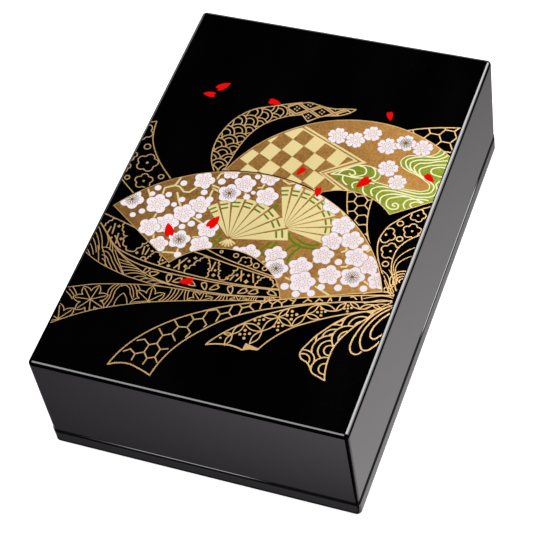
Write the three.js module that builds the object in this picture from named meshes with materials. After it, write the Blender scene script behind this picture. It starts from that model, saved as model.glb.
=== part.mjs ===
// A lacquer jewelry box: a deep lid lifts off a shallow banded base whose inner wall fills the lid.
// Millimetres, +Z up. The origin is at the middle of the underside, and the long side lies along Y.

import * as THREE from "three";
import { mergeVertices } from "three/addons/utils/BufferGeometryUtils.js";

// Overall sizes
const lidWidth = 162;
const lidLength = 240;
const boxHeight = 69;

// Lid: a box turned over, with a rounded rim round its flat top
const lidWall = 3;
const lidTopThickness = 3.5;
const topEdgeRound = 2.2;
const lidFootRound = 0.6;

// Base: the band that shows under the lid, and what stands inside the lid
const bandHeight = 9;
const bandProud = 0.2;
const bandTopRound = 0.6;
const bandBottomRound = 1;
const baseWall = 3;
const baseFloor = 3.5;
const rimRound = 0.8;
const floorCove = 2;

// Underside: a flat ring to stand on, round a shallow hollow
const footWidth = 6;
const footDepth = 1;
const footDraft = 0.5;
const hollowCorner = 3;

// Room between the two pieces
const seamGap = 0.3;
const sleeveGap = 0.5;
const headroom = 2.5;

// Corner radius left where two rounded edges meet on a flat face
const tightCorner = 0.3;

// Fineness of the rounds
const cornerSteps = 8;
const edgeSteps = 8;
const smallEdgeSteps = 4;

// Levels and corners that follow from the sizes above
const lidFoot = bandHeight + seamGap;
const ceiling = boxHeight - lidTopThickness;
const baseRim = ceiling - headroom;
const floorLevel = footDepth + baseFloor;
const lidCorner = topEdgeRound + tightCorner;
const bandCorner = lidCorner + bandProud;
const baseCorner = rimRound + tightCorner;
const sleeveCorner = baseCorner + sleeveGap;
const wallCorner = floorCove + tightCorner;

// A station is one rounded rectangle: how far it lies inside the lid's outline, its corner and its level.
function station(inset, corner, z) {
  return { inset, corner, z };
}

// The quarter round between two walls of a profile, as stations from one end to the other.
// The centre lies at centreInset and centreLevel, and angle 0 points outwards, 90 degrees up.
// rest is the corner radius that a loop through the centre would have.
function quarterRound(centreInset, centreLevel, radius, rest, startDegrees, endDegrees, steps) {
  const stations = [];
  for (let i = 0; i <= steps; i++) {
    const angle = THREE.MathUtils.degToRad(startDegrees + ((endDegrees - startDegrees) * i) / steps);
    const outwards = radius * Math.cos(angle);
    stations.push(station(centreInset - outwards, rest + outwards, centreLevel + radius * Math.sin(angle)));
  }
  return stations;
}

// The points of one station, counter-clockwise seen from above.
function loopPoints({ inset, corner, z }) {
  const halfWidth = lidWidth / 2 - inset - corner;
  const halfLength = lidLength / 2 - inset - corner;
  const points = [];
  for (const [sideX, sideY, quarter] of [[1, 1, 0], [-1, 1, 1], [-1, -1, 2], [1, -1, 3]]) {
    for (let i = 0; i <= cornerSteps; i++) {
      const angle = (Math.PI / 2) * (quarter + i / cornerSteps);
      const x = sideX * halfWidth + corner * Math.cos(angle);
      const y = sideY * halfLength + corner * Math.sin(angle);
      points.push(new THREE.Vector3(x, y, z));
    }
  }
  return points;
}

// A closed body from a row of stations: its first loop is capped facing down, its last facing up.
function ringLoft(stations) {
  const loops = stations.map(loopPoints);
  const count = loops[0].length;
  const points = loops.flat();
  const triangles = [];
  for (let i = 0; i + 1 < loops.length; i++) {
    for (let j = 0; j < count; j++) {
      const here = i * count + j;
      const next = i * count + ((j + 1) % count);
      triangles.push(here, next, next + count, here, next + count, here + count);
    }
  }
  const last = (loops.length - 1) * count;
  for (let j = 1; j + 1 < count; j++) {
    triangles.push(0, j + 1, j);
    triangles.push(last, last + j, last + j + 1);
  }
  const geometry = new THREE.BufferGeometry().setFromPoints(points);
  geometry.setIndex(triangles);
  return mergeVertices(geometry);
}

// Lid: from the ceiling down the inner wall, round the foot, up the outer wall and over the rim.
function lidGeometry() {
  const stations = [station(lidWall, sleeveCorner, ceiling), station(lidWall, sleeveCorner, lidFoot)];
  const footRest = lidCorner - lidFootRound;
  const footCentre = lidFoot + lidFootRound;
  stations.push(...quarterRound(lidFootRound, footCentre, lidFootRound, footRest, -90, 0, smallEdgeSteps));
  const rimCentre = boxHeight - topEdgeRound;
  stations.push(...quarterRound(topEdgeRound, rimCentre, topEdgeRound, tightCorner, 0, 90, edgeSteps));
  return ringLoft(stations);
}

// Base: from the hollow under it round the foot and up the band, in over the ledge that carries the lid,
// up the inner wall, over its rim and down to the floor.
function baseGeometry() {
  const footInset = footWidth - bandProud;
  const stations = [
    station(footInset + footDraft, hollowCorner, footDepth),
    station(footInset, hollowCorner + footDraft, 0),
  ];
  const bottomInset = bandBottomRound - bandProud;
  const bottomRest = bandCorner - bandBottomRound;
  const bottomRound = [bottomInset, bandBottomRound, bandBottomRound, bottomRest, -90, 0, smallEdgeSteps];
  stations.push(...quarterRound(...bottomRound));
  const bandInset = bandTopRound - bandProud;
  const bandCentre = bandHeight - bandTopRound;
  const bandRest = bandCorner - bandTopRound;
  stations.push(...quarterRound(bandInset, bandCentre, bandTopRound, bandRest, 0, 90, smallEdgeSteps));
  const wallInset = lidWall + sleeveGap;
  stations.push(station(wallInset, baseCorner, bandHeight));
  const rimCentre = baseRim - rimRound;
  const outerRim = [wallInset + rimRound, rimCentre, rimRound, tightCorner, 0, 90, smallEdgeSteps];
  stations.push(...quarterRound(...outerRim));
  const cavityInset = wallInset + baseWall;
  const innerRest = wallCorner + rimRound;
  const innerRim = [cavityInset - rimRound, rimCentre, rimRound, innerRest, 90, 180, smallEdgeSteps];
  stations.push(...quarterRound(...innerRim));
  const coveInset = cavityInset + floorCove;
  const coveCentre = floorLevel + floorCove;
  stations.push(...quarterRound(coveInset, coveCentre, floorCove, tightCorner, 0, -90, smallEdgeSteps));
  return ringLoft(stations);
}

function lacquer() {
  return new THREE.MeshStandardMaterial({ color: 0x08080a, roughness: 0.1, metalness: 0 });
}

function namedMesh(name, geometry) {
  const mesh = new THREE.Mesh(geometry, lacquer());
  mesh.name = name;
  return mesh;
}

const box = new THREE.Group();
box.add(namedMesh("lid", lidGeometry()));
box.add(namedMesh("base", baseGeometry()));

export default box;
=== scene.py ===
# %% [markdown]
# # A lacquer jewelry box
# The box is a deep lid over a shallow base, in black lacquer like a mirror, with fans, ribbons and blossoms
# printed in gold, pale gold, white, green and red on the lid's top.
#
# This file dresses a construction model that already has every piece at its real size. The frame is loaded
# first, and the boxes of its pieces give the sizes of the dressed ones.

# %% The frame
import bpy
import numpy as np
from mathutils import Matrix, Vector
from mathutils.geometry import delaunay_2d_cdt


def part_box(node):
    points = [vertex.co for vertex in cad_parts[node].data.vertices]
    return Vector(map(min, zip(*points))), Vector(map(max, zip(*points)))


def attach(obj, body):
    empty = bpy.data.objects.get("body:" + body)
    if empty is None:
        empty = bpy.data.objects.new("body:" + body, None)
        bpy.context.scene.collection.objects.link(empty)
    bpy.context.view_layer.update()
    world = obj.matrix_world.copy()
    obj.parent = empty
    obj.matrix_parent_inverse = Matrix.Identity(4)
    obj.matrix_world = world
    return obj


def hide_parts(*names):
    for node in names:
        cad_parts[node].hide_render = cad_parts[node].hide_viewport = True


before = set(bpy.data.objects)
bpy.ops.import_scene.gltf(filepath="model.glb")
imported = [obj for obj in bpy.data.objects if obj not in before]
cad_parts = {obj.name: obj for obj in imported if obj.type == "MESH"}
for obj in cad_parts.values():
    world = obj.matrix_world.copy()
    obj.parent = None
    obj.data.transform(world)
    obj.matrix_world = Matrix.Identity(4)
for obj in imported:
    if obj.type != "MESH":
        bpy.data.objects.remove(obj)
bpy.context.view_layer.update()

scene = bpy.context.scene
mm = 0.001
lid_low, lid_high = (np.array(corner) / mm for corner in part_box("lid"))
base_low, base_high = (np.array(corner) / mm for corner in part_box("base"))
print("lid, mm:", lid_low.round(2), lid_high.round(2))
print("base, mm:", base_low.round(2), base_high.round(2))

# %% [markdown]
# ## The camera
# The camera comes first, because everything is seen through it. It was worked out from the picture's own
# lines: the box's parallel edges meet at vanishing points, and those fix the lens and where the eye stands.
# The eye is high and off to the front right, about a metre away, with a long lens, and the camera is tipped
# a little to its right. A level camera is aimed first and then rolled about its own line of sight.

# %% The camera
eye = Vector((287.66, -539.26, 802.89)) * mm
aim = Vector((-1.07, -13.26, 34.5)) * mm
lens_length = 129.49
sensor_width = 36
camera_roll = -11.43

camera = bpy.data.objects.new("camera", bpy.data.cameras.new("camera"))
scene.collection.objects.link(camera)
scene.camera = camera
camera.data.lens = lens_length
camera.data.sensor_width = sensor_width
level_view = (aim - eye).to_track_quat("-Z", "Y").to_matrix().to_4x4()
camera.matrix_world = Matrix.Translation(eye) @ level_view @ Matrix.Rotation(np.radians(camera_roll), 4, "Z")
print("camera", round((aim - eye).length, 3), "m from the box")

# %% [markdown]
# ## Writing materials as sums
# A finish is mostly arithmetic on noise: more of this here, less of that there. Wiring each step by hand
# hides the idea, so a small class wraps a socket, and an expression in Python adds the Math nodes. Colours
# go through Mix nodes instead, because a Math node would turn them grey. Every other node comes from one
# method, which sets its options first and then fills its sockets with values or links.

# %% The shader helper
class Wire:
    """A socket that can be added, subtracted and multiplied like a number."""

    def __init__(self, paint, socket):
        self.paint, self.socket = paint, socket

    def sum(self, operation, *terms):
        node = self.paint.node("ShaderNodeMath", {"operation": operation}, dict(enumerate(terms)))
        return Wire(self.paint, node.outputs[0])

    def __add__(self, other):
        return self.sum("ADD", self, other)

    def __sub__(self, other):
        return self.sum("SUBTRACT", self, other)

    def __rsub__(self, other):
        return self.sum("SUBTRACT", other, self)

    def __mul__(self, other):
        return self.sum("MULTIPLY", self, other)

    __radd__, __rmul__ = __add__, __mul__

    def within(self, low, high):
        """0 below low, 1 above high, and straight between them."""
        settings = {"clamp": True}
        inputs = {"Value": self, "From Min": low, "From Max": high}
        return Wire(self.paint, self.paint.node("ShaderNodeMapRange", settings, inputs).outputs[0])

    def band(self, low, full, still, high):
        """A band, given in millimetres: rises from low to full, is 1, and falls from still to high."""
        return self.within(low * mm, full * mm) * (1 - self.within(still * mm, high * mm))


class Finish:
    """A material under construction, with one main shader."""

    def __init__(self, name):
        self.material = bpy.data.materials.new(name)
        self.material.use_nodes = True
        self.tree = self.material.node_tree
        self.shader = self.tree.nodes["Principled BSDF"]

    def node(self, kind, settings=None, inputs=None):
        """A node of a kind: its settings first, then a value or a link for each named or numbered
        socket."""
        node = self.tree.nodes.new(kind)
        for name, value in (settings or {}).items():
            setattr(node, name, value)
        self.fill(node, inputs or {})
        return node

    def fill(self, node, inputs):
        for name, value in inputs.items():
            if isinstance(value, Wire):
                self.tree.links.new(value.socket, node.inputs[name])
            else:
                node.inputs[name].default_value = value

    def wire(self, kind, settings, inputs, output=0):
        return Wire(self, self.node(kind, settings, inputs).outputs[output])

    def place(self):
        """Where a point is on the box, in metres."""
        return self.wire("ShaderNodeTexCoord", {}, {}, "Object")

    def noise(self, cell, detail=2.0, stretch=(1, 1, 1)):
        """Soft cloudy noise from 0 to 1, whose cells are so many millimetres across."""
        scaled = self.wire("ShaderNodeMapping", {}, {"Vector": self.place(), "Scale": stretch})
        inputs = {"Vector": scaled, "Scale": 1 / (cell * mm), "Detail": detail}
        return self.wire("ShaderNodeTexNoise", {}, inputs, "Fac")

    def mix(self, share, first, second):
        """The first colour where the share is 0, the second where it is 1."""
        node = self.node("ShaderNodeMix", {"data_type": "RGBA"})
        self.fill(node, {0: share, 6: first, 7: second})
        return Wire(self, node.outputs[2])

    def bump(self, height, depth):
        """A bump whose full height is so many millimetres deep."""
        return self.wire("ShaderNodeBump", {}, {"Height": height, "Distance": depth * mm}, "Normal")

    def done(self, **inputs):
        """Sets the shader's sockets, each named as Blender names it with spaces as underscores."""
        self.fill(self.shader, {name.replace("_", " "): value for name, value in inputs.items()})
        return self.material


def tint(red, green, blue):
    """A colour as a screen shows it, from 0 to 255, as the shader's linear numbers: the darkest tones are
    divided by a number, and the others are lifted, scaled back to 1 and raised to a power."""
    screen = np.array([red, green, blue]) / 255
    darkest, divisor, lift, power = 0.04045, 12.92, 0.055, 2.4
    linear = np.where(screen <= darkest, screen / divisor, ((screen + lift) / (1 + lift)) ** power)
    return (*linear.tolist(), 1.0)


print("tint of mid grey:", tint(128, 128, 128))

# %% [markdown]
# ## Lacquer
# Black lacquer is many thin coats, each rubbed down and polished. What is seen is almost only its mirror:
# the black under it is deep, and the coats above leave a surface that is level but not perfectly so. It
# could be a plain black with low roughness. Real lacquer has a little more: a very long ripple where the
# coats flowed out, a haze here and there from rubbing, and fine dust. All of it stays faint, because the
# box is new and clean. Inside and underneath, the coat is rubbed less, so it is duller. No polishing cloth
# gets into the joint between lid and base, and what little the two edges there mirror is each other, so the
# joint is a dull dark line all round. Along a stretch of each side a cloth does reach the lid's foot just
# above it, and there the foot is polished.

# %% Lacquer
joint_low, joint_high, joint_wide, joint_blend = 8.3, 10.2, 10.6, 0.05
joint_roughness = 0.85
cloth_across = (-66, -30, 20, 36)
cloth_along = (-20, -12, 76, 88)
rubbing_cell, rubbing_stretch, rubbing_range = 38, (1, 0.35, 1), (0.35, 0.7)
dust_cell, dust_range, dust_roughness = 0.9, (0.70, 0.78), 0.05
ripple_cell = 14
deep_black, hazy_black = tint(1, 1, 2), tint(7, 7, 8)
rubbing_haze, dust_haze = 0.6, 0.25
coat_smoother = 0.6
lacquer_ior = 1.5


def lacquer(name, shine, haze, ripple, top_coat):
    """Black lacquer: shine is its roughness, haze how much that varies, ripple the depth of the long waves
    in millimetres, and top_coat how much clear lacquer lies over the black. Round the joint it stays dull:
    in a narrow strip all round, and in a wide one where no cloth reaches."""
    finish = Finish(name)
    rubbing = finish.noise(rubbing_cell, 3, rubbing_stretch).within(*rubbing_range)
    dust = finish.noise(dust_cell, 0).within(*dust_range)
    flow = finish.noise(ripple_cell, 1) * ripple
    place = finish.node("ShaderNodeSeparateXYZ", {}, {0: finish.place()})
    across, along, level = (Wire(finish, place.outputs[axis]) for axis in range(3))
    cloth = across.band(*cloth_across) + along.band(*cloth_along)
    above = level.within((joint_low - joint_blend) * mm, joint_low * mm)
    narrow, wide = (1 - level.within(high * mm, (high + joint_blend) * mm)
                    for high in (joint_high, joint_wide))
    joint = above * (narrow + wide * (1 - narrow) * (1 - cloth))
    polish = shine + rubbing * haze + dust * dust_roughness
    return finish.done(
        Base_Color=finish.mix(rubbing * rubbing_haze + dust * dust_haze, deep_black, hazy_black),
        Roughness=polish + joint * (joint_roughness - polish),
        Coat_Weight=top_coat * (1 - joint), Coat_Roughness=shine * coat_smoother, IOR=lacquer_ior,
        Normal=finish.bump(flow, 1.0))


polished = lacquer("polished_black_lacquer", 0.05, 0.03, 0.012, 1.0)
rubbed = lacquer("rubbed_black_lacquer", 0.32, 0.12, 0.02, 0.2)
print("lacquers:", polished.name, rubbed.name)

# %% [markdown]
# ## The lid and the base
# Both pieces are turned out of boards and lacquered until no joint shows, so each is one closed shell. The
# frame has them already, with few faces. The mirror finish shows every facet, so here each is made again as
# a fine loft: a row of rounded rectangles, from the inside, round the foot or the rim and over the outside,
# joined into a skin. A box with bevelled edges would do for the outside, but the loft gives both sides,
# every round and the corners their own sizes. The lid's flat top is lowered by the thickness of the ink
# that lies on it.

# %% Lofting a shell
ink_thickness = 0.05
corner_steps = 14
sharp_angle = np.radians(35)
flat_face_weight = 100


def quarter(inset, level, radius, rest, start, end, steps):
    """Stations round a quarter circle of the profile. Its centre lies inset from the outline at a level;
    angle 0 points outwards and 90 degrees up; rest is the corner radius of a loop through the centre."""
    angle = np.radians(np.linspace(start, end, steps + 1))
    outwards = radius * np.cos(angle)
    return np.c_[inset - outwards, rest + outwards, level + radius * np.sin(angle)]


def loft(stations, half_width, half_length):
    """Points of every station's rounded rectangle, as rows: each of the four corners is a quarter circle
    about a centre that lies inset plus the corner's radius inside the outline."""
    inset, corner, level = (column[:, None] for column in np.vstack(stations).T)
    turn = np.radians(np.linspace(0, 90, corner_steps + 1) + 90 * np.arange(4)[:, None]).ravel()[None]
    side_x = np.repeat([1, -1, -1, 1], corner_steps + 1)[None]
    side_y = np.repeat([1, 1, -1, -1], corner_steps + 1)[None]
    x = side_x * (half_width - inset - corner) + corner * np.cos(turn)
    y = side_y * (half_length - inset - corner) + corner * np.sin(turn)
    return np.stack([x, y, level + 0 * x], -1)


def skin(rows):
    """Quads between neighbouring rows, and one flat face at each end."""
    count, around = rows.shape[:2]
    first = (np.arange(count - 1)[:, None] * around + np.arange(around)).ravel()
    second = (np.arange(count - 1)[:, None] * around + np.roll(np.arange(around), -1)).ravel()
    quads = np.stack([first, second, second + around, first + around], 1).tolist()
    return quads + [list(range(around))[::-1], list(range((count - 1) * around, count * around))]


def shell(name, node, stations, half_width, half_length, materials, outside):
    """A lofted shell that stands for a node, smooth but for its hard edges, with its hidden side in the
    second material. outside tells, from the middles of the faces, which of them show."""
    rows = loft(stations, half_width, half_length)
    mesh = bpy.data.meshes.new(name)
    mesh.from_pydata((rows.reshape(-1, 3) * mm).tolist(), [], skin(rows))
    for material in materials:
        mesh.materials.append(material)
    middles = np.empty(3 * len(mesh.polygons))
    mesh.polygons.foreach_get("center", middles)
    hidden = ~outside(middles.reshape(-1, 3) / mm)
    mesh.polygons.foreach_set("material_index", hidden.astype(np.int32))
    mesh.shade_smooth()
    mesh.set_sharp_from_angle(angle=sharp_angle)
    piece = bpy.data.objects.new(name, mesh)
    scene.collection.objects.link(piece)
    level = piece.modifiers.new("level flats", "WEIGHTED_NORMAL")
    level.keep_sharp = True
    level.weight = flat_face_weight
    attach(piece, "root")
    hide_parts(node)
    print(name, len(mesh.polygons), "faces")


print("a quarter round of 2 mm:", quarter(0, 0, 2, 0, 0, 90, 2).round(2).tolist())

# %% [markdown]
# The lid's outside is straight, but for the round edge of its top and a low bead at its foot. The bead
# stands a little proud, and above it a narrow ledge slopes up and inwards. A flat foot would mirror the
# floor as the rest of the side does. The ledge is tilted just so far that it mirrors the softboxes, and
# draws a thin light line.

# %% The lid
lid_wall = 3
lid_top_thickness = 3.5
top_round, top_steps = 2.2, 20
foot_round, foot_steps = 0.6, 6
bead_proud, bead_back, bead_height, bead_slope = 0.2, 0.15, 0.95, np.radians(20)
ledge_rise = (bead_proud + bead_back) * np.tan(bead_slope)
tight_corner = 0.3
sleeve_corner = 1.6
lid_corner = top_round + tight_corner
lid_top = lid_high[2] - ink_thickness
lid_half_width, lid_half_length = lid_high[:2]
nearly = 0.01
top_margin = 1

lid_stations = [
    [(lid_wall, sleeve_corner, lid_high[2] - lid_top_thickness), (lid_wall, sleeve_corner, lid_low[2])],
    quarter(foot_round - bead_proud, lid_low[2] + foot_round, foot_round,
            lid_corner - foot_round + bead_proud, -90, 0, foot_steps),
    [(-bead_proud, lid_corner + bead_proud, lid_low[2] + bead_height),
     (bead_back, lid_corner - bead_back, lid_low[2] + bead_height + ledge_rise)],
    quarter(top_round, lid_top - top_round, top_round, tight_corner, 0, 90, top_steps)]
shell("lid_lacquer", "lid", lid_stations, lid_half_width, lid_half_length, [polished, rubbed],
      lambda middle: (middle[:, 2] > lid_high[2] - top_round - top_margin)
      | (abs(middle[:, 0]) > lid_half_width - foot_round - nearly)
      | (abs(middle[:, 1]) > lid_half_length - foot_round - nearly))

# %% [markdown]
# The base shows as a band under the lid. Its skin starts in the hollow of the standing ring, goes out and
# up over the band, along the ledge that carries the lid, up the wall inside the lid, over the rim, and down
# a round cove to the floor. That inner wall lies inside the lid's wall, with a gap between them.

# %% The base
base_wall = 3
base_floor = 3.5
foot_width = 6
foot_depth = 1
foot_draft = 0.5
hollow_corner = 3
band_height = 9
band_top_round = 0.6
band_bottom_round = 1
rim_round = 0.8
floor_cove = 2
sleeve_gap = 0.5
small_steps, large_steps = 6, 8
base_half_width, base_half_length = base_high[:2]
band_proud = base_half_width - lid_half_width
band_corner = lid_corner + band_proud
wall_inset = lid_wall + sleeve_gap + band_proud
cavity_inset = wall_inset + base_wall
rim_level = base_high[2] - rim_round
cove_corner = floor_cove + tight_corner

base_stations = [
    [(foot_width + foot_draft, hollow_corner, foot_depth), (foot_width, hollow_corner + foot_draft, 0)],
    quarter(band_bottom_round, band_bottom_round, band_bottom_round, band_corner - band_bottom_round, -90, 0,
            large_steps),
    quarter(band_top_round, band_height - band_top_round, band_top_round, band_corner - band_top_round, 0,
            90, small_steps),
    [(wall_inset, rim_round + tight_corner, band_height)],
    quarter(wall_inset + rim_round, rim_level, rim_round, tight_corner, 0, 90, small_steps),
    quarter(cavity_inset - rim_round, rim_level, rim_round, cove_corner + rim_round, 90, 180, small_steps),
    quarter(cavity_inset + floor_cove, foot_depth + base_floor + floor_cove, floor_cove, tight_corner, 0,
            -90, large_steps)]
shell("base_lacquer", "base", base_stations, base_half_width, base_half_length, [polished, rubbed],
      lambda middle: (middle[:, 2] < band_height + nearly)
      & ((abs(middle[:, 0]) > base_half_width - band_bottom_round - nearly)
         | (abs(middle[:, 1]) > base_half_length - band_bottom_round - nearly)))

# %% [markdown]
# ## The drawing
# The decoration is printed: flat inks on black, each with a crisp edge. A picture file would be the quick
# way, but it blurs when the camera comes close and can't be changed. Here the drawing is a list of flat
# figures in millimetres, each painted over the ones before it, as a printer lays one ink over another. A
# figure may be held within an earlier one, such as a wave within its ribbon. Later all figures are cut
# against each other, and each ink becomes a thin film that lies on the lid. "Bare" is no ink at all: it
# lets the lacquer show.
#
# The motifs are common ones in such work: bundled ribbons, open fans, plum and cherry blossoms, running
# water. Each is a short function, so that the drawing is made of sizes and places.

# %% Curves and outlines
line = 0.62
fine_line = 0.46
firm_line = line * 1.1
bold_line = line * 1.2
cord_line = line * 1.25
end_line = line * 1.3
mitre_limit = 0.3


def through(points, count=40):
    """A smooth curve through the points: a cubic on each stretch, whose slope at a point is that of the
    chord between its two neighbours. It gives count points, evenly spread along the chords."""
    points = np.asarray(points, float)
    steps = np.hypot(*np.diff(points, axis=0).T)
    knots = np.r_[0, np.cumsum(steps)]
    slopes = np.gradient(points, knots, axis=0, edge_order=2 if len(points) > 2 else 1)
    at = np.linspace(0, knots[-1], count)
    i = np.clip(np.searchsorted(knots, at, side="right") - 1, 0, len(points) - 2)
    h = steps[i][:, None]
    t = ((at - knots[i]) / steps[i])[:, None]
    start = (1 + 2 * t) * (1 - t) ** 2 * points[i] + t * (1 - t) ** 2 * h * slopes[i]
    return start + t**2 * (3 - 2 * t) * points[i + 1] + t**2 * (t - 1) * h * slopes[i + 1]


def bearing(degrees):
    """Unit steps in the directions."""
    angle = np.radians(degrees)
    return np.stack([np.cos(angle), np.sin(angle)], -1)


def arc(centre, radius, start, end, count=24):
    """Points on a circle from one angle to another, in degrees."""
    return np.asarray(centre) + radius * bearing(np.linspace(start, end, count))


def disc(centre, radius, count=16):
    return arc(centre, radius, 0, 360, count + 1)[:-1]


def placed(shape, centre, size=1.0, turn=0.0):
    """The shape scaled, turned by so many degrees and moved to its centre."""
    along, across = bearing([turn, turn + 90]) * size
    return np.asarray(centre) + shape[:, :1] * along + shape[:, 1:] * across


def stroke(points, width):
    """The outline of a line of even width: each point is pushed to both sides along the mitre of its two
    stretches, and the ends are rounded."""
    points = np.asarray(points, float)
    along = np.diff(points, axis=0)
    along /= np.hypot(*along.T)[:, None]
    first = np.vstack([along[:1], along])
    second = np.vstack([along, along[-1:]])
    mitre = (first + second) / np.maximum(1 + (first * second).sum(1), mitre_limit)[:, None]
    side = np.c_[-mitre[:, 1], mitre[:, 0]] * width / 2
    cap = bearing([45, 0, -45]) * width / 2
    far_cap = placed(cap, points[-1], 1, np.degrees(np.arctan2(*along[-1][::-1])))
    near_cap = placed(cap, points[0], 1, np.degrees(np.arctan2(*-along[0][::-1])))
    return np.vstack([points + side, far_cap, (points - side)[::-1], near_cap])


print("the outline of a straight line has", len(stroke([(0, 0), (1, 0)], line)), "points")

# %% The drawing's list of figures
class Drawing:
    """Flat figures, each with its ink and the number of the figure that it is held within: 0 is the whole
    sheet, and -1 stands for none."""

    def __init__(self):
        self.outlines, self.inks, self.within = [], [], []

    def paint(self, outline, ink, within=-1):
        """Adds a figure, its outline turned counter-clockwise, and gives its number."""
        outline = np.asarray(outline, float)
        x, y = outline.T
        turns_left = (x * np.roll(y, -1) - y * np.roll(x, -1)).sum() > 0
        self.outlines.append(outline if turns_left else outline[::-1])
        self.inks.append(ink)
        self.within.append(within)
        return len(self.outlines) - 1

    def lines(self, many, ink="gold", width=line, within=0):
        for points in many:
            self.paint(stroke(points, width), ink, within)

    def loop(self, outline, ink="gold", width=line, within=0):
        """A closed line, as two half lines."""
        closed = np.vstack([outline, outline[:1]])
        half = len(outline) // 2
        self.lines([closed[: half + 1], closed[half:]], ink, width, within)


art = Drawing()
print_left, print_right, print_front, print_back = -79.0, 78.4, -117.0, 117.0
sheet = art.paint([(print_left, print_front), (print_right, print_front), (print_right, print_back),
                   (print_left, print_back)], "bare")
flow_points = 24


def flow(first, last, count, width=line, within=0):
    """Lines side by side: the first and the last are given, and the ones between are blends of the two."""
    first, last = through(first, flow_points), through(last, flow_points)
    for share in np.linspace(0, 1, count):
        art.lines([(1 - share) * first + share * last], "gold", width, within)


print("the printed sheet:", round(print_right - print_left, 2), "by", print_back - print_front, "mm")

# %% [markdown]
# ### Small motifs
# Blossoms and leaves are round figures, so each is a reach from its centre that varies with the direction.
# The petals of a plum are plain circles in a ring. Those of a cherry are broader, with a notch at the tip.

# %% Blossoms, petals and leaves
def plum_outline(petals=5, spread=0.6, lobe=0.42, count=45):
    """Round petals set in a ring: in each direction, the far side of the nearest petal's circle."""
    angle = np.linspace(0, 360, count, endpoint=False)
    off = np.radians((angle + 180 / petals) % (360 / petals) - 180 / petals)
    reach = spread * np.cos(off) + np.sqrt(lobe**2 - (spread * np.sin(off)) ** 2)
    return reach[:, None] * bearing(angle)


def cherry_outline(petals=5, low=0.62, lobe=0.38, blunt=0.45, notch=0.13, notch_width=7, count=60):
    """Broad petals: between two of them the reach is low, and a lobe adds to it as a power of the cosine,
    less a narrow bell-shaped notch at the petal's tip."""
    angle = np.linspace(0, 360, count, endpoint=False)
    off = (angle + 180 / petals) % (360 / petals) - 180 / petals
    rounded = np.cos(np.radians(off * petals / 2)) ** blunt
    reach = low + lobe * rounded - notch * np.exp(-((off / notch_width) ** 2))
    return reach[:, None] * bearing(angle)


def petal_outline(count=10):
    """One fallen petal: pointed at one end, with two round lobes and a notch between them at the other."""
    side = through([(0.5, 0), (0.3, 0.13), (0.02, 0.235), (-0.28, 0.25), (-0.48, 0.14), (-0.37, 0)], count)
    return np.vstack([side, (side * (1, -1))[-2:0:-1]])


def leaf_outline(lobes=7, low=0.58, swell=0.75, count=8):
    """Pointed lobes in a ring: the reach grows from its least between two lobes to 1 at each tip, and
    fastest at first, so that the lobes' sides swell."""
    steps = lobes * count
    off = abs((np.arange(steps) / count + 0.5) % 1 - 0.5) * 2
    reach = low + (1 - low) * (1 - off) ** swell
    return reach[:, None] * bearing(np.arange(steps) * 360 / steps)


def open_plum(centre, size, turn=90, within=0, heart=0.14):
    """A plum blossom drawn in line, with a dot at its heart."""
    art.loop(placed(plum_outline(), centre, size, turn), within=within)
    art.paint(disc(centre, size * heart, 8), "gold", within)


def ringlet(centre, size, within=0):
    art.loop(disc(centre, size, 16), within=within)


print("outlines of", len(plum_outline()), "points for a plum and", len(cherry_outline()),
      "for a cherry blossom")

# %% [markdown]
# ### Ribbons
# Each ribbon is a band between two smooth edges. Its pattern has to bend with it, so a ribbon turns a place
# given along and across it into a place on the lid. Overlapping waves are rows of discs, each disc a nest
# of gold and bare rings and each row over the one before.

# %% The ribbon
class Ribbon:
    """A band between two smooth edges. at() turns millimetres along and across it into places on the
    lid."""

    def __init__(self, left, right, count=60):
        self.left, self.right = through(left, count), through(right, count)
        self.middle = (self.left + self.right) / 2
        self.run = np.r_[0, np.cumsum(np.hypot(*np.diff(self.middle, axis=0).T))]
        self.length = self.run[-1]
        along = np.gradient(self.middle, self.run, axis=0)
        along /= np.hypot(*along.T)[:, None]
        self.side = np.c_[along[:, 1], -along[:, 0]]
        self.width = np.hypot(*(self.right - self.left).T)
        self.field = art.paint(np.vstack([self.left, self.right[::-1]]), "bare", sheet)

    def at(self, place):
        """The middle line's point at that run, plus the way across, and straight on past either end."""
        place = np.asarray(place, float)
        along, across = place[..., 0], place[..., 1]
        middle = np.stack([np.interp(along, self.run, column) for column in self.middle.T], -1)
        side = np.stack([np.interp(along, self.run, column) for column in self.side.T], -1)
        ahead = np.stack([-side[..., 1], side[..., 0]], -1)
        beyond = (along - np.clip(along, 0, self.length))[..., None]
        return middle + side * across[..., None] + ahead * beyond

    def reach(self, x):
        """How far along the ribbon its middle line passes the place x of the lid."""
        return np.interp(x, self.middle[:, 0], self.run)

    def half(self, along):
        return np.interp(along, self.run, self.width) / 2

    def mark(self, outline, ink="gold"):
        art.paint(self.at(outline), ink, self.field)

    def edge(self, start=False, width=line):
        """Its two edges in gold, and its start where that shows."""
        art.lines([self.left, self.right], "gold", width, sheet)
        if start:
            art.lines([[self.left[0], self.right[0]]], "gold", width, sheet)


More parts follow.
